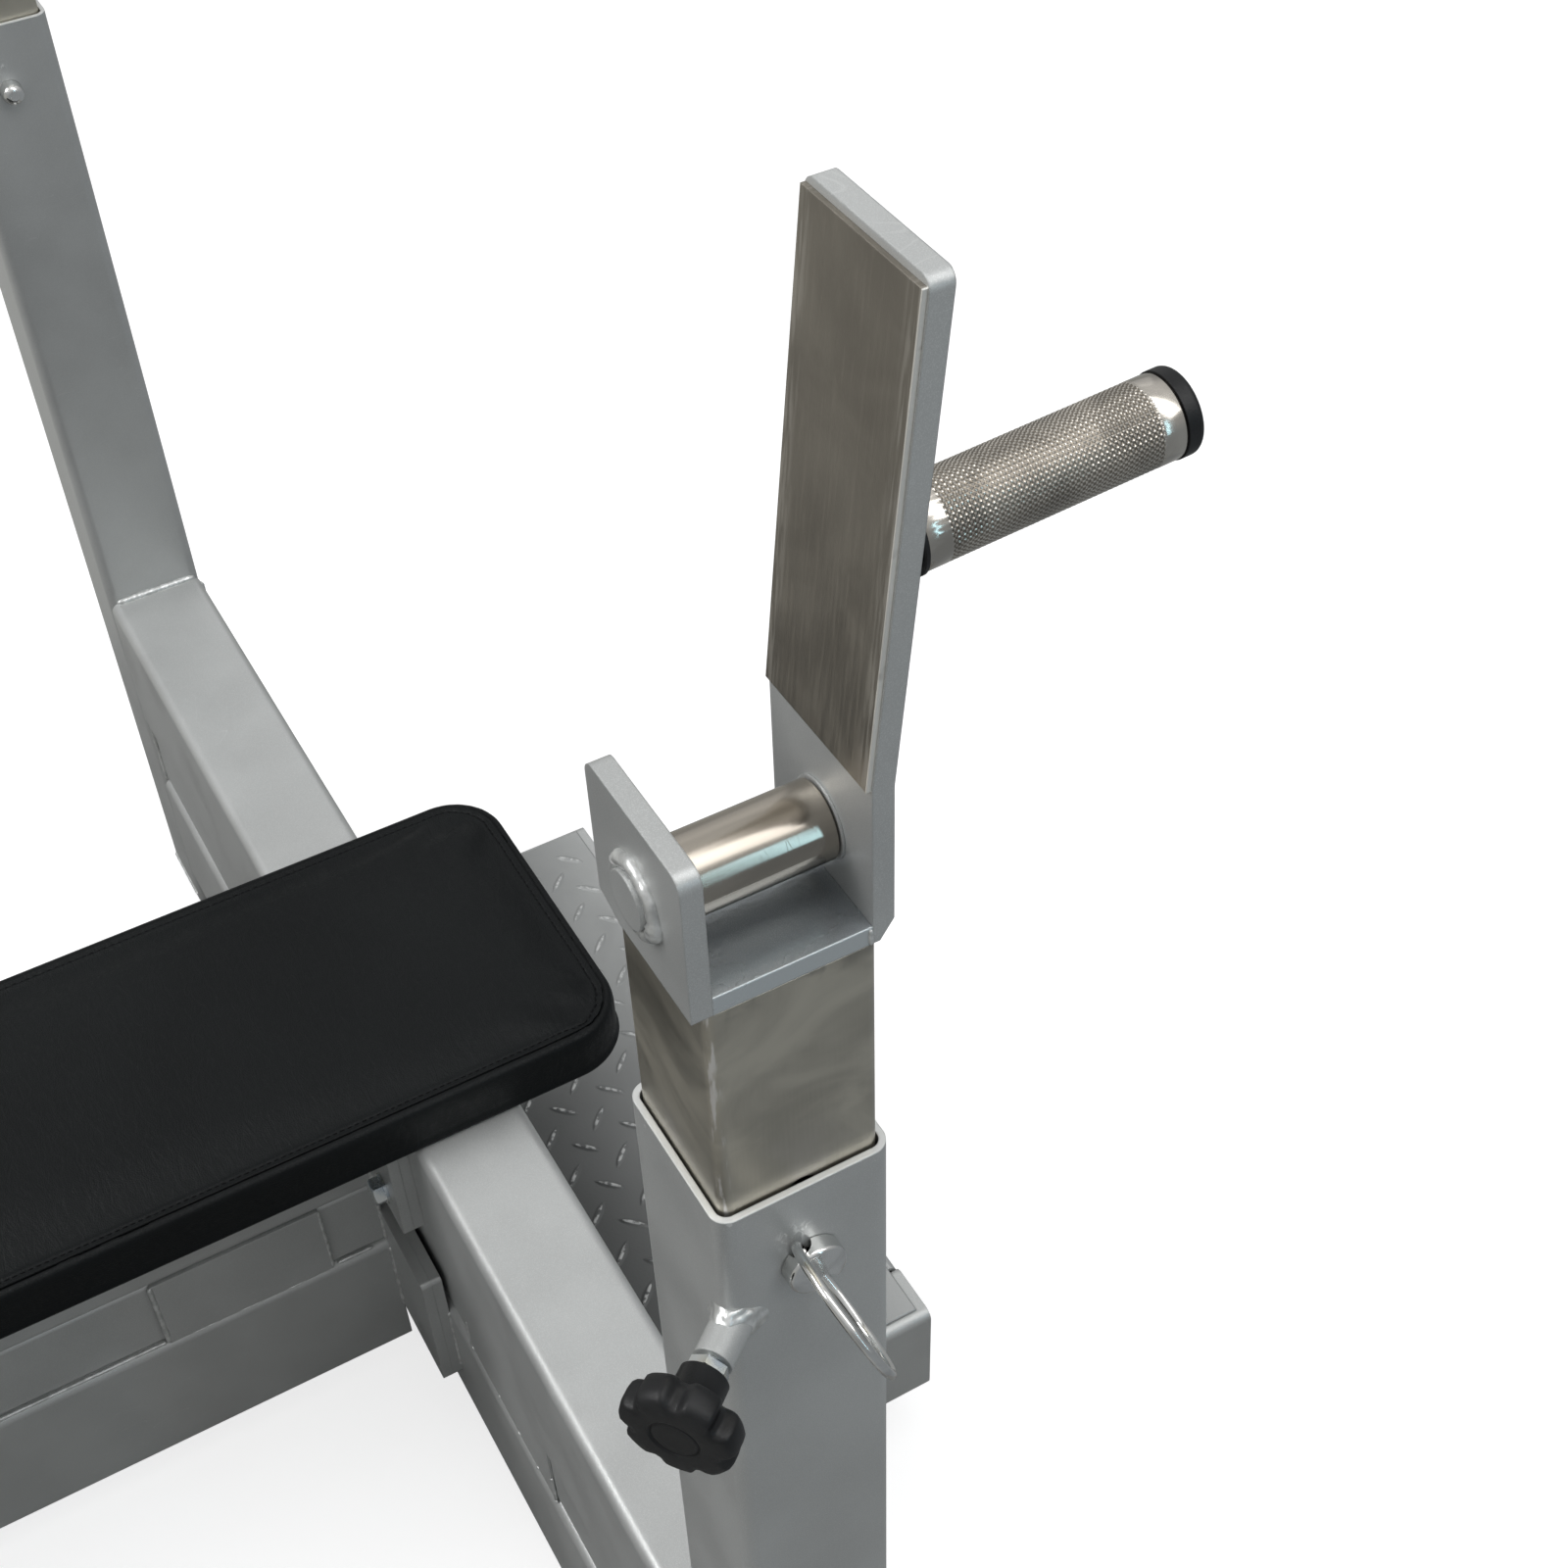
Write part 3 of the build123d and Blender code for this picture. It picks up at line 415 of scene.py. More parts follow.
NODE_LOOKS = {
    "pad_board": WOOD, "pad_screws": ZINC, "flange_bolts": ZINC, "flange_washers": ZINC,
    "front_foot_caps": PLASTIC, "rubber_feet": RUBBER, "platform_tread_plate": TREAD,
    "sleeve_right": SLEEVE, "sleeve_left": SLEEVE,
}
SIDE_LOOKS = {
    "post_tube": POST_STEEL, "wear_strip": STRIP_STEEL, "roller": ROLLER_STEEL, "handle_grip": GRIP_STEEL,
    "handle_inner_bush": PLASTIC, "handle_end_bush": PLASTIC, "lock_pin": CHROME, "pin_ring": CHROME,
    "cradle_base": SHADED_BASE_PAINT, "clamp_stud": ZINC, "clamp_nut": ZINC, "star_knob": PLASTIC,
}


def dress_cad_nodes():
    for name, obj in NODES.items():
        look = NODE_LOOKS.get(name) or SIDE_LOOKS.get(name.rsplit("_", 1)[0]) or PAINT
        for material_slot in obj.material_slots:
            material_slot.material = look


# ---- mesh helpers --------------------------------------------------------------------------
def piece(name, points, faces, body, look, slot, smooth=True):
    """A mesh in row coordinates that rides on a body."""
    mesh = bpy.data.meshes.new(name)
    mesh.from_pydata([tuple(p) for p in points], [], faces)
    mesh.materials.append(look)
    mesh.polygons.foreach_set("use_smooth", [smooth] * len(mesh.polygons))
    mesh.update()
    obj = bpy.data.objects.new(name, mesh)
    bpy.context.scene.collection.objects.link(obj)
    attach(obj, body)
    return obj


def ring_faces(rings, count, closed=False, cap=True):
    """Quads between successive rings of count points, with optional end caps."""
    faces = []
    last = rings if closed else rings - 1
    for i in range(last):
        a, b = i * count, ((i + 1) % rings) * count
        for k in range(count):
            m = (k + 1) % count
            faces.append((a + k, a + m, b + m, b + k))
    if cap and not closed:
        faces.append(tuple(range(count - 1, -1, -1)))
        faces.append(tuple(range((rings - 1) * count, rings * count)))
    return faces


def ray(side, other, turn):
    """Unit direction at an angle in the plane of two unit directions."""
    return side * math.cos(turn) + other * math.sin(turn)


def along(path, step):
    """Points and directions every step along a polyline."""
    found = []
    for start, end in zip(path, path[1:]):
        gap = end - start
        pieces = max(1, round(gap.length / step))
        found += [(start + gap * (i / pieces), gap.normalized()) for i in range(pieces)]
    found.append((path[-1], (path[-1] - path[-2]).normalized()))
    return found


def bead_mesh(path, radius, seed, closed=False):
    """A rippled weld bead: overlapping crescents of slightly uneven size."""
    rng = random.Random(seed)
    spots = along(path, radius * 0.34)
    if closed:
        spots = spots[:-1]
    count = 10
    ripple = radius * 1.15
    swells = [rng.uniform(0.82, 1.15) for _ in range(len(spots) + 2)]
    points = []
    for i, (spot, ahead) in enumerate(spots):
        up = Z if abs(ahead.z) < 0.9 else X
        side = ahead.cross(up).normalized()
        up = side.cross(ahead)
        j = i // 9
        swell = swells[j] + (swells[j + 1] - swells[j]) * (i % 9) / 9
        end = 1.0 if closed else min(1.0, 0.45 + 0.2 * min(i, len(spots) - 1 - i))
        for k in range(count):
            turn = 2 * math.pi * k / count
            phase = i * radius * 0.34 / ripple + 0.16 * math.cos(turn * 2)
            size = radius * swell * end * (0.93 + 0.13 * abs(math.sin(math.pi * phase)))
            points.append(spot + ray(side, up, turn) * size)
    return points, ring_faces(len(spots), count, closed)


def join_meshes(parts):
    points, faces = [], []
    for more_points, more_faces in parts:
        base = len(points)
        points += list(more_points)
        faces += [tuple(i + base for i in face) for face in more_faces]
    return points, faces


def circle(centre, across, upward, radius, count=48, wobble=0.0, seed=1):
    rng = random.Random(seed)
    offs = [rng.uniform(-wobble, wobble) for _ in range(8)]
    loop = []
    for i in range(count + 1):
        t = 2 * math.pi * (i % count) / count
        r = radius + sum(o * math.sin((n + 1) * t + n) for n, o in enumerate(offs)) / 3
        loop.append(centre + across * (r * math.cos(t)) + upward * (r * math.sin(t)))
    return loop


def lathe(origin, axis, profile, count=96):
    """Points and faces of a profile of (distance, radius) turned about an axis."""
    axis = axis.normalized()
    side = axis.orthogonal().normalized()
    other = axis.cross(side)
    points = []
    for distance, radius in profile:
        for k in range(count):
            turn = 2 * math.pi * k / count
            points.append(origin + axis * distance + ray(side, other, turn) * radius)
    return points, ring_faces(len(profile), count)


# ---- welds ---------------------------------------------------------------------------------
def line(*corners):
    return [Vector(c) for c in corners]


# A seam is its path and its bead's radius in mm. Its place in its list seeds the bead's lumps.
def seam_up(x, y, start, stop, radius):
    return line((x, y, start), (x, y, stop)), radius


def seam_along(x, start, stop, z, radius):
    return line((x, start, z), (x, stop, z)), radius


def seam_across(start, stop, y, z, radius):
    return line((start, y, z), (stop, y, z)), radius


def frame_welds():
    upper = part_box("crossbeam_upper")
    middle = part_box("crossbeam_middle")
    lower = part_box("crossbeam_lower")
    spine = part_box("spine_upper")
    spine_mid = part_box("spine_middle")
    spine_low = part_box("spine_lower")
    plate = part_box("flange_plates")[0].y
    front, back = upper[0].y, upper[1].y
    beads = []
    for sign in (1, -1):
        x, side, inner = sign * upper[1].x, sign * spine[1].x, sign * spine_mid[1].x
        near, far = (sign * place for place in FRONT_SEAM_X)
        beads += [
            seam_along(x, front + 6 * MM, back - 4 * MM, upper[1].z, 3.6),
            seam_up(x, back, upper[1].z - 8 * MM, upper[0].z + 6 * MM, 2.6),
            seam_up(x, back, lower[1].z - 8 * MM, lower[0].z + 8 * MM, 2.6),
            seam_up(x, middle[0].y, middle[1].z - 1 * MM, middle[0].z + 1 * MM, 2.4),
            seam_up(x, middle[1].y, middle[1].z - 1 * MM, middle[0].z + 1 * MM, 2.4),
            seam_along(x, front + 8 * MM, back - 8 * MM, lower[0].z, 2.6),
            seam_up(side, plate, spine[0].z + 6 * MM, spine[1].z - 10 * MM, 2.2),
            seam_up(side, plate, spine_low[0].z + 46 * MM, spine_low[1].z - 6 * MM, 2.2),
            seam_up(inner, plate, spine_mid[0].z, spine_mid[1].z, 1.8),
            seam_across(near, far, front, FRONT_SEAM_Z, 1.8),
            seam_up(sign * PLATE_SEAM_X, front, *PLATE_SEAM_Z, 1.6),
        ]
    return beads


def filler_welds():
    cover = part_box("crossbeam_fillers")
    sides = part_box("spine_fillers")
    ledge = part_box("spine_middle")
    inner, outer = FIRST_DOT_X, cover[1].x
    beads = []
    for sign in (1, -1):
        y = cover[0].y + 0.4 * MM
        for n in range(5):
            x = sign * (inner + (outer - inner) * (n / 4) ** 0.8)
            beads.append(seam_across(x - 2.2 * MM, x + 2.2 * MM, y, cover[0].z, 1.5))
        for x in (outer, COVER_END_X):
            beads.append(seam_up(sign * x, y, cover[0].z, cover[0].z + 30 * MM, 1.1))
        sx = sign * (sides[1].x - 0.8 * MM)
        for y, size in ((sides[0].y, 2.3), (sides[1].y, 1.4)):
            beads.append(seam_up(sx, y, sides[0].z + 1 * MM, sides[1].z - 1 * MM, size))
        wave = [Vector((sx, sides[0].y + (sides[1].y - sides[0].y) * n / 12,
                        sides[0].z - 0.8 * MM + 1.1 * MM * math.sin(n * 1.9))) for n in range(13)]
        beads.append((wave, 0.7))
        corner = sign * (ledge[1].x + 1.2 * MM)
        bare = ((ledge[0].y + 12 * MM, sides[0].y - 2 * MM), (sides[1].y + 4 * MM, ledge[1].y - 12 * MM))
        for y0, y1 in bare:
            beads.append(seam_along(corner, y0, y1, ledge[0].z, 1.5))
    return beads


def base_welds():
    beads = []
    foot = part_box("front_foot_tube")
    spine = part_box("spine_lower")
    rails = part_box("platform_end_rails")
    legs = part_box("platform_legs")
    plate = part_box("upright_foot_plates")
    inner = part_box("sleeve_right")
    for sign in (1, -1):
        x = sign * spine[1].x
        beads.append(seam_along(x, foot[0].y + 12 * MM, foot[1].y - 8 * MM, foot[1].z, 2.4))
        rail_y, rail_foot, rail_top = rails[0].y, rails[0].z, rails[1].z
        for rail_x in (sign * rails[1].x, sign * (rails[1].x - 50 * MM)):
            beads.append(seam_up(rail_x, rail_y, rail_foot + 10 * MM, rail_top - 10 * MM, 2.2))
        start_x, stop_x = sign * (rails[1].x - 42 * MM), sign * (rails[1].x - 8 * MM)
        beads.append(seam_across(start_x, stop_x, rail_y, rail_foot, 2.2))
        leg = sign * (legs[1].x - 20 * MM)
        for off in (-20 * MM, 20 * MM):
            beads.append(seam_along(leg + off, legs[0].y + 5 * MM, legs[1].y - 5 * MM, legs[1].z, 1.8))
        x0, x1 = sign * inner[0].x, sign * inner[1].x
        z = plate[1].z
        corners = [(x0, inner[0].y, z), (x1, inner[0].y, z), (x1, inner[1].y, z), (x0, inner[1].y, z),
                   (x0, inner[0].y, z)]
        for a, b in zip(corners, corners[1:]):
            start, stop = Vector(a), Vector(b)
            trim = (stop - start).normalized() * 7 * MM
            beads.append(([start + trim, stop - trim], 1.5))
    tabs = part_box("pad_tabs")
    for sign in (1, -1):
        for place in PAD_TAB_PLACES:
            y = inner[0].y + place
            beads.append(seam_along(sign * 40 * MM, y - 22 * MM, y + 22 * MM, tabs[0].z, 2.0))
    return beads


def make_frame_welds():
    for name, beads in (("frame_welds", frame_welds()), ("cover_strip_welds", filler_welds()),
                        ("base_welds", base_welds())):
        parts = [bead_mesh(path, radius * MM, seed) for seed, (path, radius) in enumerate(beads)]
        piece(name, *join_meshes(parts), "frame", WELD, "frame_paint")


def clamp_frame(side):
    joint = JOINTS[f"knob_turn_{side}"]
    out = Vector(joint["axis"]).normalized()
    return Vector(joint["pos_m"]), out, Z.copy(), out.cross(Z).normalized()


def boss_weld(side, sign):
    """Lumpy weld fillet where the clamp boss meets the sleeve's rounded corner."""
    corner, out, up, across = clamp_frame(side)
    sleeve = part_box(f"sleeve_{side}")
    face_x = sleeve[1].x if sign > 0 else sleeve[0].x
    rng = random.Random(17)
    count = 72
    lumps = [[rng.uniform(-1, 1) for _ in range(9)] for _ in range(5)]
    rows = ((8.85, 5.4, 0.6), (9.4, 4.4, 0.8), (10.2, 2.9, 0.9), (11.1, 1.6, 0.7), (11.9, 0.6, 0.3),
            (12.3, -0.9, 0.0))
    tip = min((face_x - corner.x) / out.x, (sleeve[0].y - corner.y) / out.y) - 3.2 * MM
    points = []
    for n, (radius, lift, lump) in enumerate(rows):
        for k in range(count):
            turn = 2 * math.pi * k / count
            wave = sum(a * math.sin((m + 2) * turn + m + 0.6 * n) for m, a in enumerate(lumps[n % 5])) / 3
            r = (radius + (0.9 * wave if n > 1 else 0)) * MM
            spot = corner + across * (r * math.cos(turn)) + up * (r * math.sin(turn))
            surface = min((face_x - spot.x) / out.x, (sleeve[0].y - spot.y) / out.y, tip)
            points.append(spot + out * (surface + (lift + lump * wave) * MM))
    faces = ring_faces(len(rows), count, cap=False)
    piece(f"boss_weld_{side}", points, faces, "frame", WELD, "frame_paint")


def cradle_welds(side, sign):
    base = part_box(f"cradle_base_{side}")
    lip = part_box(f"cradle_lip_{side}")
    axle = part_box(f"roller_axle_{side}")
    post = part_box(f"post_tube_{side}")
    boss = JOINTS[f"grip_spin_{side}"]
    middle = Vector(((axle[0].x + axle[1].x) / 2, lip[0].y, (axle[0].z + axle[1].z) / 2))
    plug = circle(middle - Y * 0.4 * MM, X, Z, 14.6 * MM, 60, 0.9 * MM, 5)
    parts = [bead_mesh(plug, 3.6 * MM, 4, closed=True)]
    blob = middle + X * sign * 9.5 * MM - Z * 14.5 * MM
    parts.append(bead_mesh(line(blob - X * 3 * MM, blob + X * 2 * MM + Z * 3 * MM), 3.8 * MM, 21))
    z = post[1].z
    rim = [(post[0].x, post[0].y), (post[1].x, post[0].y), (post[1].x, post[1].y), (post[0].x, post[1].y),
           (post[0].x, post[0].y)]
    for seed, (a, b) in enumerate(zip(rim, rim[1:])):
        if a[0] == b[0]:
            continue
        start, stop = Vector((*a, z)), Vector((*b, z))
        trim = (stop - start).normalized() * 4 * MM
        parts.append(bead_mesh([start + trim, stop - trim], 0.6 * MM, 30 + seed))
    back = base[1].y - 1 * MM
    for x in (base[0].x, base[1].x):
        parts.append(bead_mesh(line((x, back, base[1].z - 1 * MM), (x, back, base[0].z)), 1.2 * MM, 41))
    out = Vector(boss["axis"])
    spot = Vector(boss["pos_m"])
    ring = circle(spot + out * 3.4 * MM, X, out.cross(X), 14.8 * MM, 48, 0.5 * MM, 9)
    parts.append(bead_mesh(ring, 2.2 * MM, 15, closed=True))
    piece(f"cradle_welds_{side}", *join_meshes(parts), f"post_{side}", WELD, "frame_paint")


# ---- knurled grip --------------------------------------------------------------------------
def grip(side):
    """Tube with diamond knurling between two plain ends; its grooves get a darker material as painted
    shade.
    """
    joint = JOINTS[f"grip_spin_{side}"]
    start, axis = Vector(joint["pos_m"]), Vector(joint["axis"]).normalized()
    low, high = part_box(f"handle_grip_{side}")
    radius = (high.x - low.x) / 2
    inner = (low.y - start.y + radius * axis.z) / axis.y
    length = (high.y - low.y - 2 * radius * axis.z) / axis.y
    pitch, around, plain = KNURL_PITCH, KNURLS_AROUND, KNURL_MARGIN
    side_dir = axis.orthogonal().normalized()
    other = axis.cross(side_dir)
    count = around * 5
    rows = [0.0, 0.5 * MM, 1.0 * MM]
    steps = int((length - 2 * plain) / (pitch / 5))
    rows += [plain + (length - 2 * plain) * i / steps for i in range(steps + 1)]
    rows += [length - 1.0 * MM, length - 0.5 * MM, length]
    points, sunk = [], []
    for row in rows:
        edge = min(row, length - row)
        inside = max(0.0, min(1.0, (edge - plain) / (0.8 * MM)))
        bevel = max(0.0, 0.7 * MM - edge) * 0.8
        for k in range(count):
            turn = 2 * math.pi * k / count
            a = (around * turn / (2 * math.pi) + row / pitch) % 1.0
            b = (around * turn / (2 * math.pi) - row / pitch) % 1.0
            crest = 1 - max(abs(a - 0.5), abs(b - 0.5)) * 2
            depth = KNURL_DEPTH * (min(1.0, crest * 1.25) - 1) * inside
            sunk.append(depth < -PAINTED_SHADE_DEPTH)
            reach = radius - bevel + depth
            points.append(start + axis * (inner + row) + ray(side_dir, other, turn) * reach)
    faces = ring_faces(len(rows), count)
    obj = piece(f"knurled_grip_{side}", points, faces, f"grip_{side}", GRIP_STEEL, "chrome", smooth=False)
    obj.data.materials.append(GROOVE)
    for polygon in obj.data.polygons:
        polygon.use_smooth = len(polygon.vertices) == 4 and abs(polygon.normal.dot(axis)) < 0.02
        # painted shade: faces sunk into the grooves take the darker material
        if sum(sunk[i] for i in polygon.vertices) >= 2:
            polygon.material_index = 1
    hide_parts(f"handle_grip_{side}")


# ---- star knob -----------------------------------------------------------------------------
def star_knob(side):
    corner, out, up, across = clamp_frame(side)
    lobes, per_lobe = 7, 28
    count = lobes * per_lobe
    start = 37 * MM
    rows = [(-15.0, 10.4, 0), (-14.4, 11.0, 0), (-1.2, 11.2, 0), (-0.2, 12.2, 0), (0.0, 15.0, 0.2),
            (0.4, 22.4, 0.9), (1.4, 24.3, 1), (3.2, 25.6, 1), (6.0, 26.0, 1), (10.5, 26.0, 1),
            (13.2, 25.4, 0.95), (14.8, 24.2, 0.9), (15.6, 22.4, 0.7), (15.9, 18.0, 0.25), (16.0, 12.2, 0),
            (15.9, 11.7, 0), (14.9, 11.4, 0), (14.9, 10.6, 0), (15.5, 10.3, 0), (15.6, 9.6, 0),
            (15.4, 4.0, 0), (15.4, 0.4, 0)]
    points = []
    for distance, radius, notched in rows:
        for k in range(count):
            turn = 2 * math.pi * k / count
            place = abs((turn * lobes / (2 * math.pi)) % 1.0 - 0.5) * 2
            t = max(0.0, min(1.0, (place - 0.46) / 0.44))
            dip = t * t * (3 - 2 * t) * 4.0 * notched
            r = (radius - dip) * MM
            points.append(corner + out * (start + distance * MM) + ray(up, across, turn) * r)
    faces = ring_faces(len(rows), count)
    obj = piece(f"knob_{side}", points, faces, f"clamp_knob_{side}", PLASTIC, "black_plastic")
    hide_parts(f"star_knob_{side}")


# ---- pull ring, bolts ----------------------------------------------------------------------
def pull_ring(side):
    low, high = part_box(f"pin_ring_{side}")
    centre = (low + high) / 2
    hole = Vector(JOINTS[f"ring_swing_{side}"]["pos_m"])
    axis = Vector(JOINTS[f"ring_swing_{side}"]["axis"]).normalized()
    out = (centre - hole).normalized()
    normal = out.cross(axis)
    big, wire = (centre - hole).length, 2.15 * MM
    points = []
    rings, count = 144, 20
    for i in range(rings):
        spoke = ray(out, axis, 2 * math.pi * i / rings)
        for k in range(count):
            s = 2 * math.pi * k / count
            points.append(centre + spoke * (big + wire * math.cos(s)) + normal * wire * math.sin(s))
    faces = ring_faces(rings, count, closed=True)
    obj = piece(f"ring_{side}", points, faces, f"ring_{side}", CHROME, "chrome")
    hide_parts(f"pin_ring_{side}")


def hex_head(centre, axis, flats, height, seed):
    """Chamfered hexagon head, as points and faces."""
    side = Z.copy()
    other = axis.cross(side).normalized()
    count = 72
    points = []
    for row in ("foot", "shoulder", "rim", "dome"):
        for k in range(count):
            turn = 2 * math.pi * k / count + seed * 0.2
            wedge = (turn + math.pi / 6) % (math.pi / 3) - math.pi / 6
            radius = flats / 2 / math.cos(wedge)
            distance = 0.0
            if row == "shoulder":
                distance = height - (radius - flats / 2 * 0.93) * 0.62
            if row == "rim":
                radius, distance = flats / 2 * 0.93, height
            if row == "dome":
                radius, distance = flats / 2 * 0.2, height + 0.05 * MM
            points.append(centre + axis * distance + ray(side, other, turn) * radius)
    return points, ring_faces(4, count)


def flange_bolts():
    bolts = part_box("flange_bolts")
    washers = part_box("flange_washers")
    z = (washers[0].z + washers[1].z) / 2
    heads = []
    for seed, sign in enumerate((1, -1)):
        x = sign * (washers[1].x - 12 * MM)
        centre = Vector((x, washers[0].y, z))
        heads.append(hex_head(centre, -Y, 19 * MM, washers[0].y - bolts[0].y, seed))
        heads.append(lathe(centre, Y, [(0, 6 * MM), (18 * MM, 6 * MM)], 32))
    obj = piece("hex_bolts", *join_meshes(heads), "frame", ZINC, "zinc_plate", smooth=False)
    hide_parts("flange_bolts")


# ---- tread plate ---------------------------------------------------------------------------
def tread_plate():
    low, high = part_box("platform_tread_plate")
    raised = 1.2 * MM
    top = high.z - raised
    edge = 1.0 * MM
    rows = [(edge, low.z), (0.0, low.z + edge), (0.0, top - edge), (edge, top)]
    points = []
    for inset, z in rows:
        points += [Vector((low.x + inset, low.y + inset, z)), Vector((high.x - inset, low.y + inset, z)),
                   Vector((high.x - inset, high.y - inset, z)), Vector((low.x + inset, high.y - inset, z))]
    parts = [(points, ring_faces(4, 4))]
    pitch = 42 * MM
    length, width = 27 * MM, 7.0 * MM
    columns = int((high.x - low.x) / pitch) + 2
    lines = int((high.y - low.y) / pitch) + 2
    for shift, turn in ((0.0, math.pi / 4), (0.5, -math.pi / 4)):
        for i in range(columns):
            for j in range(lines):
                x = low.x + (i + shift - 0.3) * pitch
                y = low.y + (j + shift - 0.2) * pitch
                if low.x + 11 * MM < x < high.x - 11 * MM and low.y + 11 * MM < y < high.y - 11 * MM:
                    parts.append(tread_bar(Vector((x, y, top)), turn, length, width, raised))
    obj = piece("tread_plate", *join_meshes(parts), "frame", TREAD, "tread_plate")
    for polygon in obj.data.polygons[:20]:
        polygon.use_smooth = False
    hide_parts("platform_tread_plate")


def tread_bar(centre, turn, length, width, height):
    """One raised lens-shaped bar, a little deeper than the plate's top face."""
    lengthwise, crosswise = 18, 8
    ahead = Vector((math.cos(turn), math.sin(turn), 0))
    side = Vector((-ahead.y, ahead.x, 0))
    points = []
    for i in range(lengthwise + 1):
        u = -1 + 2 * i / lengthwise
        half = width / 2 * max(0.04, (1 - u * u) ** 0.75)
        for k in range(crosswise + 1):
            v = -1 + 2 * k / crosswise
            lift = height * (1 - v * v) * min(1.0, 1.6 * (1 - u * u)) - 0.05 * MM * v * v
            points.append(centre + ahead * (u * length / 2) + side * (v * half) + Z * lift)
    faces = []
    for i in range(lengthwise):
        for k in range(crosswise):
            a = i * (crosswise + 1) + k
            faces.append((a, a + crosswise + 1, a + crosswise + 2, a + 1))
    return points, faces


# ---- cushion -------------------------------------------------------------------------------
def outline(low, high, radius, inset, z):
    """Rounded rectangle, always the same number of points, as a list of vectors."""
    x0, x1, y0, y1 = low.x + inset, high.x - inset, low.y + inset, high.y - inset
    r = max(radius - inset, 0.4 * MM)
    points = []
    corners = [(x1 - r, y0 + r, -math.pi / 2), (x1 - r, y1 - r, 0.0), (x0 + r, y1 - r, math.pi / 2),
               (x0 + r, y0 + r, math.pi)]
    straights = (280, 40, 280, 40)
    arc = 22
    for n, (cx, cy, start) in enumerate(corners):
        for i in range(arc):
            t = start + math.pi / 2 * i / arc
            points.append(Vector((cx + r * math.cos(t), cy + r * math.sin(t), z)))
        here = Vector((cx + r * math.cos(start + math.pi / 2), cy + r * math.sin(start + math.pi / 2), z))
        nx, ny, _ = corners[(n + 1) % 4]
        there = Vector((nx + r * math.cos(start + math.pi / 2), ny + r * math.sin(start + math.pi / 2), z))
        for i in range(straights[n]):
            points.append(here.lerp(there, i / straights[n]))
    return points


def swollen_slab(low, high):
    """Simulated foam block: a slightly small slab inflated by the Cloth solver."""
    shrink = 3.5 * MM
    rows = [(shrink + 2 * MM, low.z + 0.2 * MM), (shrink, low.z + 3 * MM), (shrink, high.z - 11 * MM),
            (shrink + 3 * MM, high.z - 6 * MM), (shrink + 8 * MM, high.z - 4 * MM)]
    points = []
    for inset, z in rows:
        points += outline(low, high, PAD_CORNER, inset, z)
    count = len(points) // len(rows)
    mesh = bpy.data.meshes.new("foam")
    mesh.from_pydata(points, [], ring_faces(len(rows), count))
    obj = bpy.data.objects.new("foam", mesh)
    bpy.context.scene.collection.objects.link(obj)
    remesh = obj.modifiers.new("remesh", "REMESH")
    remesh.mode = "VOXEL"
    remesh.voxel_size = 6 * MM
    apply_modifiers(obj)
    inflate(obj, low)
    return obj


def inflate(obj, low):
    rest = [v.co.copy() for v in obj.data.vertices]
    held = obj.vertex_groups.new(name="held")
    held.add([v.index for v in obj.data.vertices if v.co.z < low.z + 5 * MM], 1.0, "REPLACE")
    cloth = obj.modifiers.new("cloth", "CLOTH")
    settings = cloth.settings
    settings.quality = 5
    settings.mass = 0.3
    settings.tension_stiffness = 15
    settings.compression_stiffness = 15
    settings.bending_stiffness = 0.5
    settings.use_pressure = True
    settings.uniform_pressure_force = 4.0
    settings.vertex_group_mass = "held"
    settings.effector_weights.gravity = 0.0
    scene = bpy.context.scene
    for number in range(1, 21):
        scene.frame_set(number)
    apply_modifiers(obj)
    limit = 6 * MM
    for vertex, start in zip(obj.data.vertices, rest):
        move = vertex.co - start
        if move.length > limit:
            vertex.co = start + move.normalized() * limit
    scene.frame_set(1)


def apply_modifiers(obj):
    graph = bpy.context.evaluated_depsgraph_get()
    mesh = bpy.data.meshes.new_from_object(obj.evaluated_get(graph))
    obj.modifiers.clear()
    obj.data = mesh


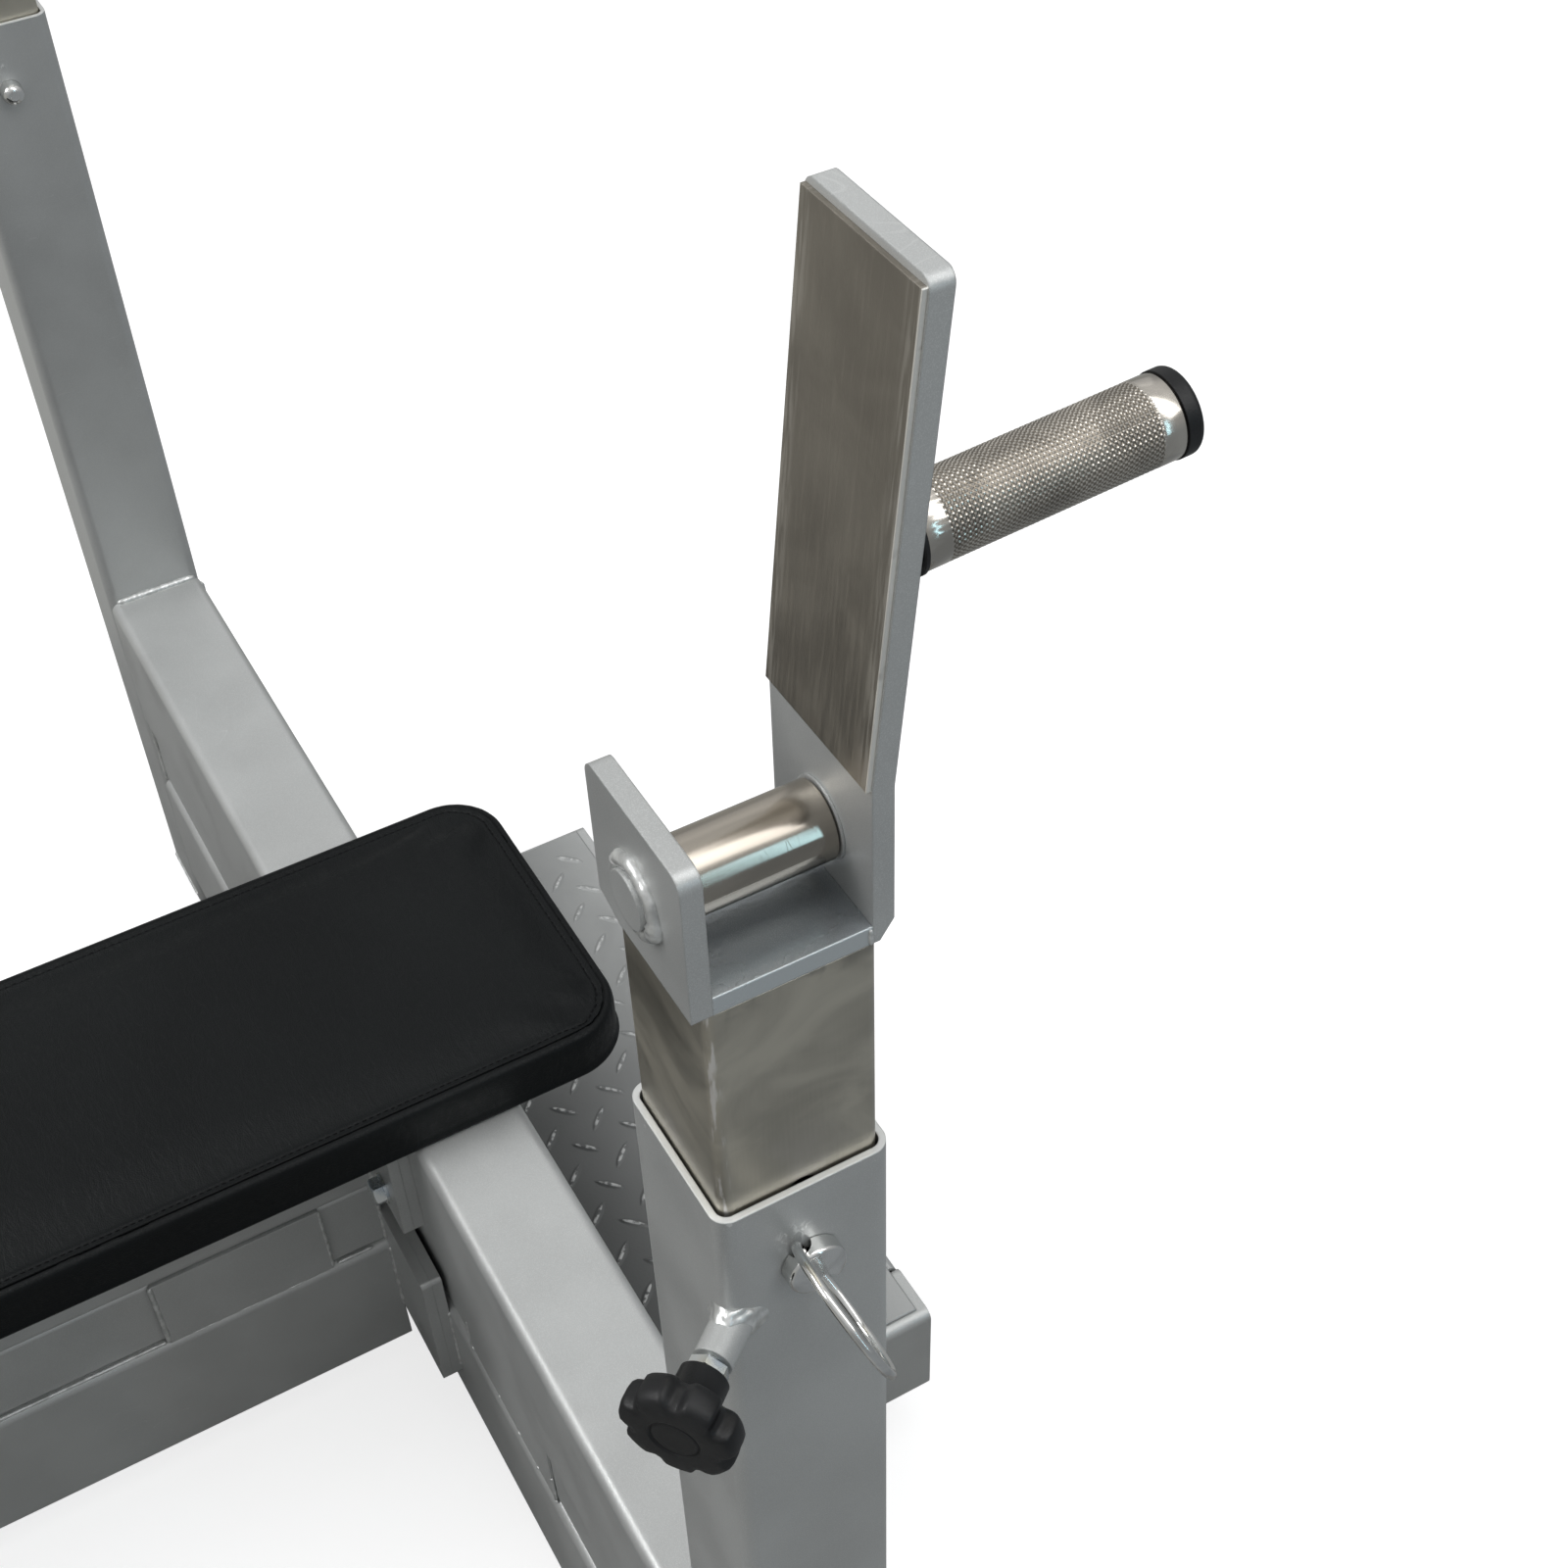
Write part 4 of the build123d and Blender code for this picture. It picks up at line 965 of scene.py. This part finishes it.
def cushion():
    """Boxed cushion: crowned top panel, sewn edge with a topstitched row, side band.

    The simulated foam moves each row only a little, so that the board below stays hidden.
    """
    low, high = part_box("pad_cushion")
    foam = swollen_slab(low, high)
    tree = BVHTree.FromPolygons([v.co for v in foam.data.vertices],
                                [tuple(p.vertices) for p in foam.data.polygons])
    bpy.data.objects.remove(foam)
    height = high.z - low.z
    side = [(12 * MM, 0.0), (3 * MM, 0.0), (1 * MM, 1.2 * MM), (0.0, 4 * MM)]
    side += [(0.0, height * f) for f in (0.16, 0.24, 0.32, 0.4, 0.48, 0.56, 0.64)]
    edge = [(0.4 * MM, height - 12 * MM), (0.9 * MM, height - 9.4 * MM), (1.6 * MM, height - 7.4 * MM)]
    seam = [(2.2 * MM, height - 6.0 * MM), (2.6 * MM, height - 5.4 * MM), (3.0 * MM, height - 4.8 * MM),
            (3.4 * MM, height - 4.3 * MM), (3.9 * MM, height - 3.7 * MM)]
    insets = (5, 6.2, 7.6, 8.8, 9.6, 10.2, 10.8, 11.6, 13, 15, 18, 22, 27, 33, 40, 48, 57, 67, 78, 90,
              102, 112, 119)
    top = [(inset * MM, height) for inset in insets]
    rows = side + edge + seam + top
    seam_row = len(side) + len(edge) + 2
    stitch_row = len(side) + len(edge) + len(seam) + 5
    points, stitch_path = [], []
    for number, (inset, lift) in enumerate(rows):
        for spot in outline(low, high, PAD_CORNER, inset, low.z + lift):
            found, normal, _, _ = tree.find_nearest(spot)
            move = found - spot
            reach = 0.0 if number < 4 else (1.6 * MM if number <= seam_row else 6 * MM)
            if move.length > reach:
                move = move.normalized() * reach
            place = spot + move
            normal = normal.normalized() if number > seam_row else outward(spot, low, high)
            groove = {0: 2.4, 1: 1.3, 2: 0.3}.get(abs(number - seam_row), 0.0)
            groove += {0: 0.9, 1: 0.4}.get(abs(number - stitch_row), 0.0)
            pucker = 0.0
            if -4 < number - stitch_row < 2:
                pucker = 0.25 * math.sin(spot.x * 900) * math.sin(spot.y * 760)
            spot = place - normal * (groove + pucker) * MM
            spot.z = min(spot.z, high.z + 1.5 * MM)
            points.append(spot)
            if number == stitch_row:
                stitch_path.append((spot + normal * 0.25 * MM, normal))
    count = len(points) // len(rows)
    obj = piece("cushion", points, ring_faces(len(rows), count), "frame", VINYL, "pad_vinyl")
    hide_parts("pad_cushion")
    stitches(stitch_path)


def outward(spot, low, high):
    """Direction away from the cushion's middle line, level with the floor."""
    core = Vector((0.0, max(low.y + 0.08, min(high.y - 0.08, spot.y)), spot.z))
    return (spot - core).normalized()


def stitches(path):
    """A row of thread stitches, each a small capsule lying along the path."""
    pitch, length, thick = 5.2 * MM, 3.7 * MM, 0.5 * MM
    spots = [p for p, _ in path]
    normals = [n for _, n in path]
    total = len(spots)
    marks, travelled, wanted = [], 0.0, 0.0
    for i in range(total):
        here, there = spots[i], spots[(i + 1) % total]
        gap = (there - here).length
        while gap > 0 and wanted <= travelled + gap:
            centre = here.lerp(there, (wanted - travelled) / gap)
            marks.append((centre, (there - here).normalized(), normals[i]))
            wanted += pitch
        travelled += gap
    parts = []
    for centre, ahead, normal in marks:
        side = ahead.cross(normal).normalized()
        points = []
        profile = ((-0.5, 0.25), (-0.42, 0.75), (-0.2, 1.0), (0.2, 1.0), (0.42, 0.75), (0.5, 0.25))
        for reach, width in profile:
            sink = -0.5 * MM * (abs(reach) * 2) ** 3
            for k in range(6):
                t = math.pi * k / 3
                lift = sink + thick * width * math.sin(t)
                points.append(centre + ahead * reach * length + normal * lift
                              + side * thick * width * math.cos(t))
        parts.append((points, ring_faces(len(profile), 6)))
    piece("cushion_stitches", *join_meshes(parts), "frame", THREAD, "pad_vinyl")


# ---- stage ---------------------------------------------------------------------------------
def area_light(name, place, target, size, power, tint):
    data = bpy.data.lights.new(name, "AREA")
    data.shape = "RECTANGLE"
    data.size, data.size_y = size
    data.energy = power
    data.color = tint
    obj = bpy.data.objects.new(name, data)
    obj.location = place
    obj.rotation_euler = (Vector(target) - Vector(place)).to_track_quat("-Z", "Y").to_euler()
    bpy.context.scene.collection.objects.link(obj)


def world_light():
    """Bright ceiling and mid-grey surroundings: cool to one side, warm to the front."""
    world = bpy.data.worlds.new("studio")
    world.use_nodes = True
    tree = world.node_tree

    def node(kind, operation=None, **inputs):
        made = tree.nodes.new(kind)
        if operation:
            made.operation = operation
        for key, value in inputs.items():
            feed(tree, made.inputs[int(key[1:])], value)
        return made

    def blend(factor, low, high):
        made = node("ShaderNodeMix")
        made.data_type = "RGBA"
        for key, value in (("Factor", factor), ("A", low), ("B", high)):
            socket = [s for s in made.inputs if s.name == key and (key == "Factor" or s.type == "RGBA")][0]
            feed(tree, socket, value if isinstance(value, bpy.types.NodeSocket) else (*value, 1))
        return [s for s in made.outputs if s.type == "RGBA"][0]

    sight = node("ShaderNodeTexCoord").outputs["Generated"]
    facing = node("ShaderNodeVectorMath", "DOT_PRODUCT", _0=sight, _1=(-0.7, -0.7, 0))
    height = node("ShaderNodeSeparateXYZ", _0=sight).outputs[2]

    def ramp(value, start, stop):
        return node("ShaderNodeMapRange", _0=value, _1=start, _2=stop).outputs[0]

    low = blend(ramp(facing.outputs["Value"], -0.4, 0.5), (0.25, 0.265, 0.277), (0.4, 0.4, 0.38))
    middle = blend(ramp(height, -0.1, 0.25), low, (0.36, 0.365, 0.37))
    sky = blend(ramp(height, 0.3, 0.85), middle, (0.72, 0.725, 0.725))
    tree.links.new(sky, tree.nodes["Background"].inputs["Color"])
    bpy.context.scene.world = world


def stage_mesh(name, points, faces, look):
    mesh = bpy.data.meshes.new(name)
    mesh.from_pydata(points, [], faces)
    mesh.materials.append(look)
    obj = bpy.data.objects.new(name, mesh)
    bpy.context.scene.collection.objects.link(obj)
    obj.visible_glossy = False
    obj.visible_diffuse = False
    return obj


def stage():
    look = Look("pale_floor", Metallic=0.0, Emission_Strength=0.74)
    cloud = look.noise(2.5, detail=3.0)
    look.colour(look.mix(cloud, (0.44, 0.44, 0.44), (0.47, 0.47, 0.47)))
    look.feed(look.shader.inputs["Emission Color"], look.mix(cloud, (0.98, 0.98, 0.98), (1, 1, 1)))
    look.rough(look.span(cloud, 0.3, 0.7, 0.8, 0.9))
    half = 30.0
    square = ((-1, -1), (1, -1), (1, 1), (-1, 1))
    stage_mesh("floor", [(half * x, half * y, 0) for x, y in square], [(0, 1, 2, 3)], look.mat)
    # painted shade: a dark floor under the bench, unseen by the camera, darkens reflections and bounce
    # light as if the floor there lay in shadow
    dark = Look("shaded_floor", Metallic=0.0)
    cloud = dark.noise(2.5, detail=3.0)
    dark.colour(dark.mix(cloud, (0.25, 0.25, 0.245), (0.31, 0.31, 0.3)))
    dark.rough(dark.span(cloud, 0.3, 0.7, 0.8, 0.9))
    shade = stage_mesh("painted_shade_floor_seen_in_metal", [(1.0 * x, 1.1 * y - 0.2, -0.001) for x, y in square],
                       [(0, 1, 2, 3)], dark.mat)
    shade.visible_camera = False
    shade.visible_shadow = False
    shade.visible_glossy = True
    shade.visible_diffuse = True
    walls = Look("pale_backdrop", Metallic=0.0, Emission_Strength=0.82)
    cloud = walls.noise(0.2, detail=2.0)
    walls.colour(walls.mix(cloud, (0.1, 0.1, 0.1), (0.12, 0.12, 0.12)))
    walls.feed(walls.shader.inputs["Emission Color"], walls.mix(cloud, (0.97, 0.97, 0.97), (1, 1, 1)))
    ring = [(half * math.cos(i * math.pi / 16), half * math.sin(i * math.pi / 16)) for i in range(32)]
    points = [(x, y, z) for z in (-1, half) for x, y in ring]
    backdrop = stage_mesh("backdrop", points, ring_faces(2, 32, cap=False), walls.mat)
    backdrop.visible_shadow = False
    world_light()
    for light in LIGHTS:
        area_light(*light)
    bpy.context.scene.view_settings.view_transform = "Standard"


def camera():
    data = bpy.data.cameras.new("camera")
    data.sensor_width = 36.0
    data.lens = CAMERA_LENS
    data.clip_start = 0.05
    obj = bpy.data.objects.new("camera", data)
    obj.location = CAMERA_PLACE
    obj.rotation_euler = [math.radians(angle) for angle in CAMERA_TURN]
    bpy.context.scene.collection.objects.link(obj)
    bpy.context.scene.camera = obj


camera()
stage()
dress_cad_nodes()
make_frame_welds()
flange_bolts()
tread_plate()
cushion()
for side_name, side_sign in SIDES.items():
    boss_weld(side_name, side_sign)
    cradle_welds(side_name, side_sign)
    grip(side_name)
    star_knob(side_name)
    pull_ring(side_name)
